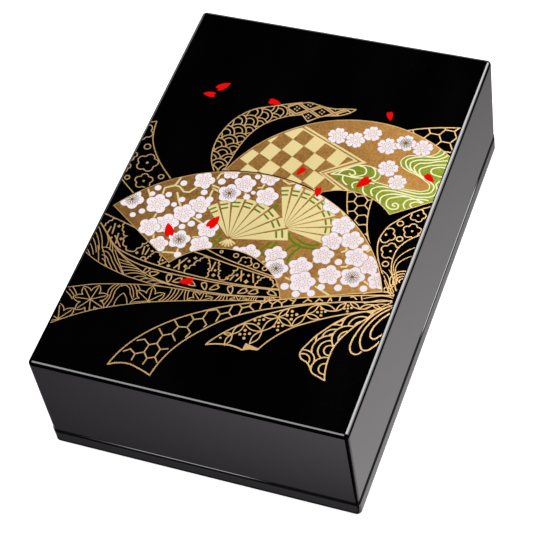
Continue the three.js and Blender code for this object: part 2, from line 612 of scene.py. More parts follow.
def waves(ribbon, radius, rings, rise, start=0.0, face=180, width=line):
    """Overlapping scales in rows across the ribbon, every other row half a scale aside. face is the way
    that their round side looks, in degrees from the ribbon's own direction."""
    pitch = radius * 2
    widest = ribbon.width.max() / 2 + radius
    ring_half, hole_half = 100, 118
    ring_outline = arc((0, 0), 1, face - ring_half, face + ring_half, 20)
    hole_outline = arc((0, 0), 1, face - hole_half, face + hole_half, 22)
    for row, along in enumerate(np.arange(start, ribbon.length + radius, rise)):
        offset = radius * (row % 2)
        for across in np.arange(-pitch * np.ceil(widest / pitch) + offset, widest, pitch):
            for ring in rings:
                ribbon.mark(placed(ring_outline, (along, across), radius * ring + width / 2))
                ribbon.mark(placed(hole_outline, (along, across), radius * ring - width / 2), "bare")


def net(field, centre, side, turn, inner, count=9, width=line):
    """A net of hexagons in a straight lattice on the lid, laid out from the centre of one of them. It is
    held within a figure, which stops its lines at the ribbon's edges."""
    wide, high = 1.5 * side, np.sqrt(3) * side
    for i in range(-count, count + 1):
        for j in range(-count, count + 1):
            middle = placed(np.array([(i * wide, (j + i % 2 / 2) * high)]), centre, 1, turn)[0]
            if np.hypot(*(inner - middle).T).min() < 2 * side:
                corners = middle + side * bearing(turn + np.arange(0, 181, 60))
                art.lines([corners[k : k + 2] for k in range(3)], "gold", width, field)


print(len(art.outlines), "figure before the first ribbon, the bare sheet")

# %% [markdown]
# The ribbons behind the fans come first, since all the others are painted over them: two with a net of
# hexagons, two with plum blossoms in line, and one with overlapping waves, whose top is folded over.

# %% The ribbons behind the fans
corner = Ribbon(left=[(52, 62.4), (57, 64.8), (62.9, 67), (71.3, 69.3), (79, 70.9)],
                right=[(60, 50), (66, 52), (72, 53.5), (79, 54)])
net(corner.field, (73.7, 63.9), 4.6, 0, corner.middle, width=firm_line)
corner.edge(width=firm_line)
art.lines([[(77.9, 70.6), (76.2, 68)]], width=firm_line)

under = Ribbon(left=[(49, 20), (49.2, 12), (50.6, 3), (53, -4.5), (57, -12)],
               right=[(35, 20), (36.8, 13), (39, 6.5), (42, 0), (46, -8)])
net(under.field, (43.9, 13.4), 3.5, 20, under.middle)
under.edge()

plums = Ribbon(left=[(80, 19.2), (70.7, 12.2), (65.7, 6.5), (62.1, 1.5), (60.5, -3.5), (60, -7.5),
                     (60.7, -12.5), (62.5, -17.5), (68, -27)],
               right=[(80, 1), (74.8, -3.5), (72.1, -7.1), (70.5, -10.7), (70, -16.6), (70.7, -21.6),
                      (72.3, -25.7), (74.8, -30.3), (77, -34.8)])
for centre, size, turn in [((74.1, 11.3), 3.9, 80), ((74.1, 1.3), 4.5, 95), ((62.4, -3.9), 4.8, 60),
                           ((67.6, -13), 4.8, 95)]:
    open_plum(centre, size, turn, plums.field)
for centre in [(67.1, 4.5), (69.6, -4.8), (67.5, -21)]:
    ringlet(centre, 1.5, plums.field)
plums.edge()

blossom_ribbon = Ribbon(left=[(-76.2, 38.4), (-75.2, 32), (-73.4, 26), (-70, 20), (-64, 12.5), (-56, 5),
                              (-50, 0)],
                        right=[(-95, 30.6), (-94, 24), (-90, 12), (-85, 3), (-80, -1.8), (-70, -9.5),
                               (-60, -16)])
for centre, size, turn in [((-70.5, 10.8), 5.7, 85), ((-67.8, -1), 4.7, 100), ((-80.5, 30), 5.5, 60),
                           ((-81.5, 13.5), 4, 90), ((-82, 5.5), 4, 90)]:
    open_plum(centre, size, turn, blossom_ribbon.field)
for centre, size in [((-74.5, 21), 1.7), ((-60, 3.8), 1.4), ((-77, -0.8), 1.3)]:
    ringlet(centre, size, blossom_ribbon.field)
blossom_ribbon.edge(start=True)

wave_ribbon = Ribbon(left=[(-9.2, 58.3), (-15.4, 54.4), (-21.5, 48.5), (-25.6, 41), (-28, 32), (-29.4, 20),
                           (-30.5, 8)],
                     right=[(-6, 68.5), (-20, 62.6), (-29, 58.2), (-36.3, 50), (-40.2, 39), (-40.7, 29),
                            (-38.5, 20), (-34, 12.5), (-32, 8)])
waves(wave_ribbon, 4.7, (1, 0.56), 4.1, start=1)
wave_ribbon.edge()

# The ribbon's folded top has a lattice of diamonds, each with a border and four dots.
fold = art.paint(np.vstack([through([(-12.4, 64.8), (-6.4, 67.8), (-2.6, 69.3), (2.9, 68.8), (8.3, 68.1),
                                     (13.3, 68.5), (17.5, 69.5), (22.6, 70.3)]),
                            through([(22.6, 70), (20, 67), (15, 64.2), (8.8, 62.5), (5, 60.4)], 16),
                            [(1, 56.6), (-3.3, 60.6), (-9.2, 58.3)]]), "bare", sheet)
step_right, step_up = np.array((7.5, -3.6)), np.array((5.9, 4.4))
border_outer, border_inner = 0.96, 0.72
dot_out, dot_size = 1.15, 0.52
for i in range(-1, 3):
    for j in range(-1, 3):
        middle = (-7.3, 63.8) + i * step_right + j * step_up
        diamond = np.array([step_right + step_up, step_up - step_right, -step_right - step_up,
                            step_right - step_up]) / 2
        art.paint(middle + border_outer * diamond, "gold", fold)
        art.paint(middle + border_inner * diamond, "bare", fold)
        for way in (20, 110, 200, 290):
            art.paint(disc(middle + dot_out * bearing(way), dot_size, 8), "gold", fold)
art.loop(art.outlines[fold])
print(len(art.outlines), "figures in the ribbons behind the fans")

# %% [markdown]
# Under the lower fan run three narrow ribbons: a slim one with rings and a blossom, one with banks of cloud
# and cut straw, and one with fallen petals. A bank's edge is a row of small lobes between cusps.

# %% The narrow ribbons under the lower fan
slim = Ribbon(left=[(-26, -31), (-14, -31), (0, -31.5), (14, -34), (30, -38)],
              right=[(-22, -33.5), (-10, -37.2), (2, -39.4), (14, -41.3), (30, -43)])
for centre, size in [((-12.8, -33.8), 0.7), ((-5, -34.2), 1.2), ((6.8, -37.6), 1.4), ((11.5, -38.3), 1.2)]:
    ringlet(centre, size, slim.field)
open_plum((0.9, -37), 3.4, 62, slim.field)
slim.edge()

cloud = Ribbon(left=[(-82, -25), (-70, -27.8), (-56, -31.5), (-40, -35), (-24, -37.4), (-8, -39.8),
                     (6, -41.6), (24, -43), (50, -42)],
               right=[(-82, -29), (-77.4, -33), (-72, -38.2), (-66, -43.6), (-56, -47.2), (-40, -49.7),
                      (-22, -50.9), (0, -50.8), (22, -48.4), (50, -44.5)])


def scallops(cusps, bulge=0.3):
    """A line of small round lobes: between two cusps it swells to its right by a share of their
    distance."""
    cusps = np.array(cusps)
    step = np.diff(cusps, axis=0)
    share = np.linspace(0, 1, 6)[:-1, None, None]
    lobes = cusps[:-1] + share * step + bulge * np.sin(np.pi * share) * step[:, ::-1] * (1, -1)
    art.lines([np.vstack([lobes.transpose(1, 0, 2).reshape(-1, 2), cusps[-1:]])], width=line,
              within=cloud.field)


# Banks of cloud hang from one edge or stand on the other, and the lobes face out of the bank.
for cusps in [
        [(-72.4, -27.3), (-73.8, -29), (-75.2, -30.7), (-75.8, -32.6), (-76, -34.4)],
        [(-66.9, -29.2), (-66.4, -31.6), (-65.1, -34.1), (-62.7, -36.4), (-62.9, -39.6), (-60.4, -42.6),
         (-57.4, -44.8), (-54.7, -42.2), (-53.1, -38.8), (-51.2, -37.2)],
        [(-40.5, -49.6), (-41.3, -47.4), (-41, -45.6), (-42, -43.4), (-43.7, -42), (-45.7, -43.6),
         (-46.2, -45.2), (-47.2, -46.6), (-47.4, -48.4)],
        [(-15, -50.6), (-14.8, -47.8), (-15.5, -45.6), (-15.3, -43.4), (-16.5, -42.2), (-17, -40.4),
         (-18.7, -39), (-20.5, -39.8), (-21.2, -41.7), (-23, -43.1), (-22.9, -44.9), (-24.8, -47.2),
         (-26.2, -50.4)],
        [(-11.6, -39.4), (-10.8, -41.4), (-10.6, -43.2), (-9.3, -44.9), (-9.2, -46.8), (-8.2, -48.8),
         (-6.4, -50), (-5, -47.9), (-4.1, -46.6), (-2.8, -45.1), (-3, -43.3), (-1.4, -41)],
        [(18.7, -48), (18.2, -45.4), (16.4, -44), (14.6, -42.9), (13, -43.6), (11.8, -45.4), (10.9, -47.4),
         (10.5, -49.4)],
        [(26, -43.4), (27.6, -45), (30, -45.6), (32, -44.6), (33, -43.2)]]:
    scallops(cusps)
art.lines([arc((-49.3, -47.6), 1.2, -20, 200, 9)], within=cloud.field)

# Cut straw: short lengths, some crossed, with small square chips between them.
for straw in [[(-72.8, -32.8), (-73, -36.6)], [(-71.4, -30.4), (-70.5, -36.6)],
              [(-67.4, -35.8), (-66.4, -42)], [(-68.5, -37.6), (-63.4, -43.4)],
              [(-51.4, -40.3), (-50.7, -45)], [(-48.7, -40.8), (-49.2, -44.8)],
              [(-39.8, -48.8), (-37.5, -46.6)], [(-28, -41.7), (-32.2, -49)],
              [(-31.2, -43.8), (-29.6, -49.2)], [(-13.4, -40.7), (-13.7, -46)], [(-1.8, -46), (-2.6, -49)],
              [(0.9, -42.4), (2.7, -48.2)], [(2.7, -44), (0.2, -49)], [(7, -42.6), (8.9, -47.6)],
              [(21, -44.6), (22.8, -47.4)], [(23.2, -44.4), (21, -47)], [(35.6, -43.6), (37, -45.4)]]:
    art.lines([straw], width=bold_line, within=cloud.field)
chip_turn = 12
for x, y, size in [(-68.9, -31.5, 1), (-69.9, -39.2, 0.8), (-64.8, -38.7, 1), (-50.1, -39.4, 0.8),
                   (-53.7, -44.9, 1), (-46.6, -42, 0.8), (-39.5, -46, 0.8), (-35.4, -48.5, 1.1),
                   (-24.1, -40.8, 1), (-26.4, -43.3, 0.9), (-27.1, -46.7, 1.1), (-11.8, -45.4, 0.8),
                   (-11.6, -48.3, 1.1), (-4.1, -48.6, 0.8), (-0.4, -45.4, 0.9), (5.2, -44.2, 0.9),
                   (5.3, -48, 1.3), (10.2, -43.9, 0.9), (20.2, -46, 0.8), (24.2, -46.2, 0.8)]:
    art.paint(disc((0, 0), size, 4) @ np.array([bearing(chip_turn), bearing(chip_turn + 90)]) + (x, y),
              "gold", cloud.field)
cloud.edge()

fallen = Ribbon(left=[(-65, -44.5), (-58, -49), (-50, -51.3), (-40, -52.4), (-24, -52.6), (-4, -52),
                      (16, -49.8), (30, -47.6), (50, -44.4)],
                right=[(-65, -46), (-58, -50.6), (-50, -54), (-42, -56.8), (-32, -58.6), (-18, -59),
                       (0, -57.6), (18, -54.2), (32, -51), (50, -46.6)])
longest_petal, petal_share, petal_extra = 4.9, 1.7, 1
for x, turn in [(-45, 60), (-40.6, 205), (-32.4, 100), (-27.6, 30), (-20.4, 160), (-13.6, 120), (-8.6, 40),
                (-0.4, 115), (5.6, 40), (10.8, 30), (20, 165)]:
    middle = fallen.at((fallen.reach(x), 0))
    long = min(longest_petal, petal_share * fallen.half(fallen.reach(x)) + petal_extra)
    art.loop(placed(petal_outline(8), middle, long, turn + 180), "gold", line, fallen.field)
fallen.edge()
print(len(art.outlines), "figures with the narrow ribbons")

# %% [markdown]
# Water and reeds are drawn as lines that run side by side. Only the first and the last line of such a group
# are given, and the ones between are blends of the two.

# %% The ribbons of water and leaves
reeds = Ribbon(left=[(-83, -28), (-78.3, -32.4), (-71.5, -38.8), (-65, -45), (-57, -50.4), (-50, -53.6),
                     (-42, -56.8), (-30, -59)],
               right=[(-83, -48), (-78.3, -51.2), (-70, -55.2), (-62, -57.6), (-54, -59.4), (-46, -60.4),
                      (-38, -61), (-30, -61)])
for first, last, count in [
        ([(-78.8, -34.4), (-75.3, -39.2), (-72.2, -46)], [(-78.8, -49), (-77.4, -50.6), (-75.6, -53)], 5),
        ([(-71.9, -46), (-69, -45.5), (-65.8, -47.6), (-62.6, -51.6), (-59, -55.3), (-55.4, -59.2)],
         [(-69.4, -52.6), (-68.6, -52.9), (-67.6, -53.6), (-66.6, -54.9), (-65.4, -56.2), (-64.6, -57.4)],
         4),
        ([(-77.2, -33.4), (-73.4, -37), (-70.4, -42.4), (-70.2, -45.6)],
         [(-70.6, -39.8), (-68.2, -42.6), (-66.6, -45.4), (-65.8, -47.4)], 3),
        ([(-72, -46.2), (-68.6, -51), (-66, -56.8)], [(-74.6, -45.6), (-72.4, -50), (-70.4, -55)], 2),
        ([(-61.4, -50.6), (-57, -51.4), (-52, -51.8), (-48, -52.4)],
         [(-54.6, -58.9), (-52, -57.4), (-49, -56.6), (-44, -57)], 5),
        ([(-49.8, -59.9), (-47.8, -58.4), (-45.4, -57.9), (-42.4, -58.2)],
         [(-38.4, -60.8), (-35.8, -59.4), (-33.4, -59), (-30, -59.4)], 4)]:
    flow(first, last, count, width=fine_line, within=reeds.field)
art.lines([through([(-65.2, -46), (-62.3, -49.7), (-58.6, -54.6), (-54.6, -59.4)], flow_points)],
          width=fine_line, within=reeds.field)
reeds.edge(width=fine_line)

leaves = Ribbon(left=[(-83, -74.6), (-78.7, -73), (-67.4, -68.3), (-60, -66.2), (-52.8, -64.4),
                      (-37.8, -61.6), (-22, -60.2), (-6, -59), (12, -55.6), (32, -50.8), (50, -46)],
                right=[(-83, -98.5), (-78.7, -95), (-68.7, -87.3), (-61.5, -82.7), (-51.5, -77.7),
                       (-37.8, -72), (-24.2, -67.6), (-12.8, -64.4), (0, -61), (14, -57.6), (32, -52.6),
                       (50, -47.4)])
near_stem = [(-53.4, -66), (-51.6, -64.9), (-49.2, -66), (-47.3, -69.2), (-44.4, -72.6)]
far_stem = [(-52.4, -78.6), (-52.2, -72), (-50.7, -69.7), (-49, -71.2), (-46.6, -75.8)]
for first, last, count in [
        ([(-79, -75.8), (-76.6, -77.2), (-74.2, -79.2)], [(-76.9, -72.4), (-74.8, -74.2), (-72.8, -76.6)],
         3),
        ([(-56.9, -65.8), (-58.6, -69.2), (-58.3, -73.4), (-59, -77)],
         [(-53.4, -64.8), (-55.2, -69.2), (-54.9, -74.5), (-56, -80.2)], 3),
        (near_stem, near_stem, 1), (far_stem, far_stem, 1),
        ([(-49.4, -64), (-46.9, -66.8), (-45.1, -70.6)], [(-46, -63.2), (-44.4, -64.6), (-43.4, -66.4)], 3),
        ([(-28.6, -61), (-28.7, -65.4), (-30.6, -69.2)], [(-22.9, -60.4), (-23.4, -64.4), (-24.8, -67.8)],
         4),
        ([(-21.5, -60.4), (-21, -63.6), (-20.1, -66)], [(-19.9, -60.2), (-19.4, -63.4), (-18.6, -65.6)], 2),
        ([(-4.2, -58.8), (-4.8, -60.6), (-5.8, -62.4)], [(-0.6, -58.2), (-0.4, -59.6), (0.2, -61)], 4),
        ([(11, -55.6), (10.2, -57), (10.4, -58.6)], [(14.4, -54.8), (13.6, -56.2), (13.8, -57.8)], 4)]:
    flow(first, last, count, width=fine_line, within=leaves.field)
leaf_margin, vein_reach = 1.06, 0.86
for centre, size, turn in [((-65.3, -77.3), 9, 82), ((-37.1, -71), 8.8, 97), ((-76.2, -92.2), 9.4, 108),
                           ((-12.6, -64.6), 6.4, 85), ((5.6, -59.8), 4.4, 78), ((20, -55.4), 3.2, 60)]:
    art.paint(placed(leaf_outline(), centre, size * leaf_margin, turn), "bare", leaves.field)
    art.loop(placed(leaf_outline(), centre, size, turn), width=fine_line, within=leaves.field)
    for tip in bearing(np.arange(7) * 360 / 7):
        vein = placed(np.array([(0, 0), vein_reach * tip]), centre, size, turn)
        art.lines([vein], width=fine_line, within=leaves.field)
leaves.edge(width=fine_line)
print(len(art.outlines), "figures with the water and the leaves")

# %% [markdown]
# Three ribbons run from the knot at the right edge towards the front of the lid, and get wider on the way.
# What fills them grows with them: a tortoiseshell net, linked circles and large waves.

# %% The long ribbons in front
long_ribbon = Ribbon(left=[(-42.2, -110.4), (-40.5, -104.5), (-37.3, -97.5), (-32, -89.6), (-25, -82),
                           (-17, -75.3), (-8, -69.3), (0, -64.8), (12, -59.3), (24.5, -54.2), (34.6, -50.4),
                           (46.4, -46.7), (58.6, -42.9), (67.7, -40.3), (77, -38.2)],
                     right=[(-20.2, -110.8), (-18.7, -103.5), (-15, -94), (-9.5, -85.4), (-3.5, -78.4),
                            (3, -71.9), (10, -66.8), (18.2, -62.2), (30, -56.7), (40.5, -52.4), (54, -48.2),
                            (67.7, -44.4), (77, -41.6)])
# Tortoiseshell: a net of hexagons that is left open here and there, and shrinks towards the knot.
for points in [[(-33.5, -94.1), (-30.3, -92.5), (-27.1, -95), (-23.7, -93.2), (-22.6, -88.2), (-25.8, -85)],
               [(-22.6, -88.2), (-18.7, -86.1), (-15.8, -89.5)],
               [(-18.7, -86.1), (-17.1, -81.6), (-20.1, -78.6)],
               [(-17.1, -81.6), (-13, -80.7), (-10.3, -83.2), (-11.5, -86.4)],
               [(-13, -80.7), (-11.5, -75.7), (-14, -73)],
               [(-11.5, -75.7), (-7.4, -73.9), (-4.4, -77), (-5.1, -78.6)],
               [(-7.4, -73.9), (-6.7, -69.1), (-2.7, -67.3), (-0.1, -69.4), (3.4, -67.4), (5.9, -69.4),
                (8, -68)],
               [(-6.7, -69.1), (-8.3, -68.4)],
               [(-27.1, -95), (-27.8, -99.5), (-31.7, -101.6), (-34.9, -99.5), (-37.6, -101.6)],
               [(-31.7, -101.6), (-32, -105.2)],
               [(-27.8, -99.5), (-25.1, -102.5), (-21.7, -100.9), (-20.8, -96.1), (-23.7, -93.2)],
               [(-25.1, -102.5), (-25.8, -106.1)], [(-21.7, -100.9), (-19.6, -103.4)],
               [(-20.8, -96.1), (-17.4, -94.8)], [(-0.1, -69.4), (-0.7, -73.8)],
               [(3.4, -67.4), (3.9, -63.4)], [(6.4, -61.4), (8.9, -63.3), (12, -61.5), (14.8, -63.3)],
               [(8.9, -63.3), (8.6, -67.4)], [(12, -61.5), (12.5, -59)],
               [(15.5, -57.7), (17.3, -58.5), (19.1, -56.8)], [(17.3, -58.5), (17.3, -61.6)],
               [(20.5, -56.6), (22.3, -57.4), (24.1, -54.8), (26.4, -55.9), (28.2, -53.6)],
               [(22.3, -57.4), (22.5, -59.2)], [(26.4, -55.9), (27, -57.2)],
               [(29.8, -53), (32, -53.2), (32.3, -52)], [(32, -53.2), (31.6, -54.8)],
               [(36.4, -52.8), (38, -50.6), (40, -51.2)], [(38, -50.6), (37.7, -49.6)],
               [(42, -51), (43.2, -48.8), (45, -49.6)], [(47.7, -49.2), (48.3, -47), (49.3, -48.6)],
               [(52.7, -45.3), (52.8, -47.4)], [(57.5, -44.2), (58.6, -43.4), (60.5, -44.6)],
               [(62.3, -42.4), (63.2, -44.4)]]:
    art.lines([points], width=firm_line, within=long_ribbon.field)
long_ribbon.edge(width=firm_line)
art.lines([through([(-42.2, -110.6), (-37.5, -108.4), (-32.5, -107.7), (-27, -108.9), (-20.2, -111.2)])],
          width=bold_line)

# Linked circles: lenses between the nodes of a net, with five dots in each of its gaps.
linked = Ribbon(left=[(-0.6, -87.6), (4.1, -80.5), (8.6, -75.5), (13.2, -71), (20.5, -64.6), (26.8, -60.5),
                      (31.4, -57.4), (44.1, -51.5), (54.1, -48), (67.7, -44.4), (77, -41.2)],
                right=[(24.5, -84.2), (26.8, -79.6), (30.5, -74.2), (35.9, -68.3), (42.7, -63.3),
                       (51.4, -57.8), (63.2, -51.9), (72.3, -47.8), (78, -44)])
nodes = np.array([(13.3, -71.6), (9.5, -79), (22.7, -73.7), (19.5, -82), (27.7, -64), (20.5, -65.2),
                  (35.5, -67.4), (31, -57.8), (39.8, -59.2), (46.9, -60.1), (44.1, -52.1), (53.2, -53.6),
                  (56.4, -47.9), (58, -46.9), (63.6, -49.6), (68.9, -45.8), (5.6, -79.7), (8.2, -86),
                  (73.2, -47)])
lens_swell = 0.17
for start, end in [(0, 1), (0, 2), (2, 3), (2, 4), (5, 4), (4, 6), (4, 7), (6, 8), (8, 9), (8, 10),
                   (10, 11), (11, 12), (13, 14), (14, 15), (1, 16), (1, 17), (15, 18)]:
    share = np.linspace(0, 1, 13)[:, None]
    step = nodes[end] - nodes[start]
    swell = lens_swell * np.sin(np.pi * share) * step[::-1] * (1, -1)
    spine = nodes[start] + share * step
    art.loop(np.vstack([spine + swell, (spine - swell)[-2:0:-1]]), within=linked.field)
middle_dot, least_dot, dot_growth = 0.62, 0.34, 0.2
for x, y, gap in [(33.6, -61.3, 2.3), (19.4, -68, 2.1), (29.4, -69.1, 2.1), (15.4, -77.5, 2.3),
                  (46.7, -56, 1.9), (58.2, -50.8, 1.7), (4.8, -82.4, 0)]:
    art.paint(disc((x, y), middle_dot, 8), "gold", linked.field)
    for way in (25, 105, 195, 280):
        art.paint(disc((x, y) + gap * bearing(way), least_dot + dot_growth * gap, 8), "gold", linked.field)
linked.edge(width=firm_line)
art.lines([through([(-0.6, -87.8), (5, -86), (10, -85.3), (17.2, -86.3)])], width=end_line)
art.paint([(17.2, -86.6), (17.3, -84.5), (17.6, -82.2), (20.4, -82.8), (24.8, -83.6), (24.2, -84.8),
           (20.5, -85.2)],
          "gold", sheet)

# A short ribbon of large waves, each a nest of rings that covers the ones above it.
hanging = Ribbon(left=[(69.5, -49.6), (64.5, -51.5), (60.5, -54.2), (57.3, -57.8), (54.1, -61.5),
                       (51.4, -65.5), (48.6, -69.8), (46.4, -74.6), (44.8, -78.7), (44.5, -81.5),
                       (45.9, -83.7), (49.5, -85.3), (51.6, -87.6), (53.6, -90.1), (56.4, -91.2),
                       (60.5, -92.6)],
                 right=[(76, -46), (69.5, -53.3), (65.9, -57.8), (62.7, -63.3), (60, -69.2), (58.6, -74.6),
                        (58.4, -79.2), (58.6, -83.7), (59.3, -88.3), (60.5, -92.6)])
half_ring = 0.36
for x, y, rings in [(75.5, -51.6, (5.6, 3.6)), (60.8, -63.6, (6.2, 4)), (57.3, -69.4, (8.4, 5.7, 3.2)),
                    (67.7, -59.6, (9.3, 6.2, 3.3)), (57.5, -76, (8.5, 5.6, 2.8)),
                    (63.6, -67.6, (7.5, 4.4, 1.8)), (58.6, -86.5, (6.5, 3)), (46.8, -84.2, (5.6, 3.4))]:
    for ring in rings:
        art.paint(disc((x, y), ring + half_ring, 40), "gold", hanging.field)
        art.paint(disc((x, y), ring - half_ring, 40), "bare", hanging.field)
for edge in (hanging.left, hanging.right):
    art.lines([edge], width=bold_line)
print(len(art.outlines), "figures with the long ribbons")

# %% [markdown]
# At the right edge the ribbons are gathered in a knot of cords. Turns of cord are groups of lines side by
# side, and its rolls are arcs about a common centre. A tassel's cord hangs below in three loops, one inside
# the other.

# %% The cords at the knot
for first, last, count in [
        ([(78.5, -8), (74.8, -11.6), (71.9, -17.1), (71.6, -21.2), (73.5, -25.7), (76.2, -30.7)],
         [(78.5, -13.5), (75.7, -15.7), (73.5, -18.9), (73, -22.1), (74.4, -25.7), (76.6, -29.6)], 2),
        ([(67.5, -25.3), (70.3, -27.1), (73.5, -32.1), (76.4, -36.2)],
         [(70.3, -24), (72.4, -26.4), (75.2, -31.4), (77.4, -35)], 2),
        ([(68.9, -28), (71.6, -31.6), (75.3, -36.6)], [(70, -30.4), (72.5, -34.4), (75.7, -38.4)], 2),
        ([(77, -37.4), (72, -37.2), (67.4, -38.6), (62.6, -40.6)],
         [(77, -44), (72, -44.6), (69, -46.4), (66, -48.8)], 4),
        ([(77.4, -42), (73.4, -46.2), (70.6, -50.2), (68.6, -55)],
         [(78.4, -45), (75, -49), (72.4, -53), (70.6, -57)], 2)]:
    flow(first, last, count, width=fine_line)
for centre, radii, start, end in [((78.5, -29), (6.1, 4.5, 3, 1.5), 92, 222),
                                  ((76.4, -34.6), (3.2, 2), 100, 250), ((72.6, -35.6), (1.3,), 60, 300)]:
    for radius in radii:
        art.lines([arc(centre, radius, start, end, 16)])
tassel = [[(76, -45.4), (74.1, -47.4), (71.4, -51), (68.6, -56.5), (66.8, -62.4), (65.9, -67.8),
           (66.1, -71.9), (67.3, -74.2), (69.1, -75.1), (70.9, -74.6), (72, -73)],
          [(77.4, -46.4), (73.6, -51), (70.9, -56.5), (69.5, -61.5), (69.3, -65.5), (70.5, -69.6),
           (72.3, -71.9), (74.5, -71.5), (76.8, -68.7), (78.6, -65.1)],
          [(78.4, -48.6), (74.7, -54.4), (73.2, -58.7), (73, -61.5), (74.1, -64.2), (75.5, -64.6),
           (77.3, -62.8), (78.8, -60.5)]]
art.paint(np.vstack([through(tassel[0]), [(76, -73), (80, -70), (80, -46)]]), "bare", sheet)
for points in tassel:
    art.lines([through(points)], width=cord_line)
print(len(art.outlines), "figures with the knot")

# %% [markdown]
# ### The upper fan
# A fan's leaf is the part of a ring between two of its ribs. This one has a checked panel on its left,
# running water on its right and cherry blossoms between. The water is a group of bends that fold back on
# themselves, with curls where the bends meet.

# %% The upper fan's leaf and its checks
upper_pivot, upper_radius = np.array((37.4, -5.4)), 70.2
inner_pivot, inner_radius = np.array((38.2, -12.0)), 30.1
upper_near_edge = np.vstack([arc(inner_pivot, inner_radius, 118, 43, 24), [(60.5, 8.8), (80, 22.5)]])
upper_leaf = art.paint(np.vstack([arc(upper_pivot, upper_radius, 20, 180, 90),
                                  [(-34, 10), (20, 10), (23.5, 13.6)], upper_near_edge]), "fan", sheet)
rim_width = 1.2
upper_rim = art.paint(np.vstack([arc(upper_pivot, upper_radius - rim_width, 10, 190, 90),
                                 [(-30, -10), (60, -10)]]),
                      "fan", upper_leaf)


def panel(gap, ink, within):
    """The checked panel drawn in by a gap along its slanted edges: a long straight edge to its far tip,
    back to the notch, and out again along the near edge."""
    down, back = np.array((-0.4, -0.92)) * gap, np.array((-1.0, 0)) * gap
    tip_share, notch_share, near_share = 2.4, 1.35, 1.2
    edge = [(-6, 56.6) + down, (39.3, 37.6) + tip_share * back, (21.4, 25.9) + notch_share * back,
            (40, 16.6) + near_share * down, (20, 0), (-40, 0), (-40, 56.6)]
    return art.paint(edge, ink, within)


checks = panel(2.9, "pale", panel(2.0, "pale", panel(1.15, "fan", panel(0, "pale", upper_rim))))
check_right, check_down = np.array((6.92, -3.05)), np.array((-3.45, -8.05))
check_overlap = 0.012
for i in range(-3, 8):
    for j in range(-3 + (i + 1) % 2, 7, 2):
        cell = (-9.3, 46.6) + i * check_right + j * check_down
        grow = check_overlap * (check_right + check_down)
        far_corner = cell + check_right + check_down + grow
        art.paint([cell - grow, cell + check_right, far_corner, cell + check_down], "fan", checks)
print(len(art.outlines), "figures with the checks")

# %% [markdown]
# The water is one green area, bounded by two banks and the fan's near edge, with pale lines on it. Each
# line is a smooth curve through a few points, and many bend back on themselves as eddies do.

# %% The running water
far_bank = [(71.3, 58), (72, 52.7), (69.4, 50), (63.3, 48.5), (57.5, 46.8), (55.3, 43.2), (56.7, 39.4),
            (59.8, 37.5), (65.8, 35.6), (70.8, 33.1), (74, 30.4), (74, 28.4), (71.7, 26.8), (66.6, 26.2),
            (58, 26.1), (50, 26.6), (46.4, 27)]
near_bank = [(46.4, 27), (48.4, 29.4), (48.4, 32), (45.8, 34.8), (41, 36), (35.6, 35.2), (30, 31.6),
             (23.4, 26.2)]
water = art.paint(np.vstack([through(far_bank, 70), through(near_bank, 30), [(30, 22.6), (38, 18.7)],
                             arc(inner_pivot, inner_radius, 90, 43, 20),
                             [(60.5, 8.8), (80, 22.5), (80, 60)]]),
                  "green", upper_leaf)
crest, bank_line = 0.8, 0.8 * 1.4
for bank in (far_bank, near_bank):
    art.lines([through(bank, 70)], "cream", bank_line, water)
for points in [
        [(74.6, 56), (75, 52.6), (72.6, 49.8), (66, 48.2), (61, 46.4), (58, 43.6), (58.8, 41), (62, 38)],
        [(77.6, 55), (77, 51.4), (73.8, 48.4), (68, 46.4), (63.8, 45.4), (60.6, 42.6), (61.4, 39.8),
         (65, 37)],
        [(79, 48.6), (74, 47), (69, 44.6), (64.8, 43.2), (63.2, 40.4), (65, 37.6), (70, 34.6)],
        [(79, 45.6), (73.6, 44.4), (69, 42.2), (66.2, 39.6), (67.4, 36.8), (72, 34), (76.4, 30.6), (76, 27),
         (71.4, 24.8), (64, 24.6), (55, 24.9), (49.4, 24), (46.8, 21.6), (48.4, 18)],
        [(79, 43.4), (74.6, 43), (72, 40.8), (72.6, 38.8), (75.4, 37.9), (79, 37.6)],
        [(79, 35.2), (77, 32.6), (78.6, 29), (78, 25.4), (72, 22.8), (64, 22.9), (57, 23.2), (51.4, 21.4),
         (50.4, 18.4), (52, 15.6)],
        [(23.4, 26.2), (29, 27), (36, 26.8), (44, 27.8), (47, 27)],
        [(74, 19.8), (69, 21), (62, 21.8), (56.4, 20.8), (53.2, 18.4), (53.6, 14)],
        [(76, 21.6), (69.4, 20.8), (65.8, 19), (65, 16.4), (66.4, 14)],
        [(73.4, 19.2), (69.6, 18.8), (68.2, 17.2), (69.2, 15.6)],
        [(65.6, 21.4), (60.4, 20), (56.6, 17.4), (57, 13.8), (60, 12), (62.8, 13.2), (62.6, 15.4),
         (60.4, 16), (59.8, 14.6), (61.2, 14.2)],
        [(42.2, 22), (42.8, 19.8), (45.6, 17.4)], [(38.4, 24.6), (36.4, 22.8), (37.4, 20.4)],
        [(46.8, 25.4), (43.6, 24.8), (42, 22.4)], [(30.4, 27), (30.6, 24.6), (33.8, 21.6)],
        [(27.4, 27), (28.8, 29.6), (31.2, 31.2), (34.6, 31), (35.8, 29.2), (34.2, 28), (32.8, 28.9)],
        [(36.6, 34.8), (40, 33.6), (40.8, 30.8), (38, 28.4), (34, 27.2)],
        [(41.4, 36), (45, 33.4), (45.6, 30.2), (42.6, 27.8)]]:
    art.lines([through(points, 6 * len(points))], "cream", crest, water)
print(len(art.outlines), "figures with the water on the fan")

# %% [markdown]
# ### Blossoms
# Plum petals are round and cherry petals notched. Each blossom is white on a narrow rim of the ground,
# which parts it from its neighbours where they overlap. Its heart is a ring of stamens, fine lines that end
# in dots. A few have a dark heart, drawn closer and in a darker ink.

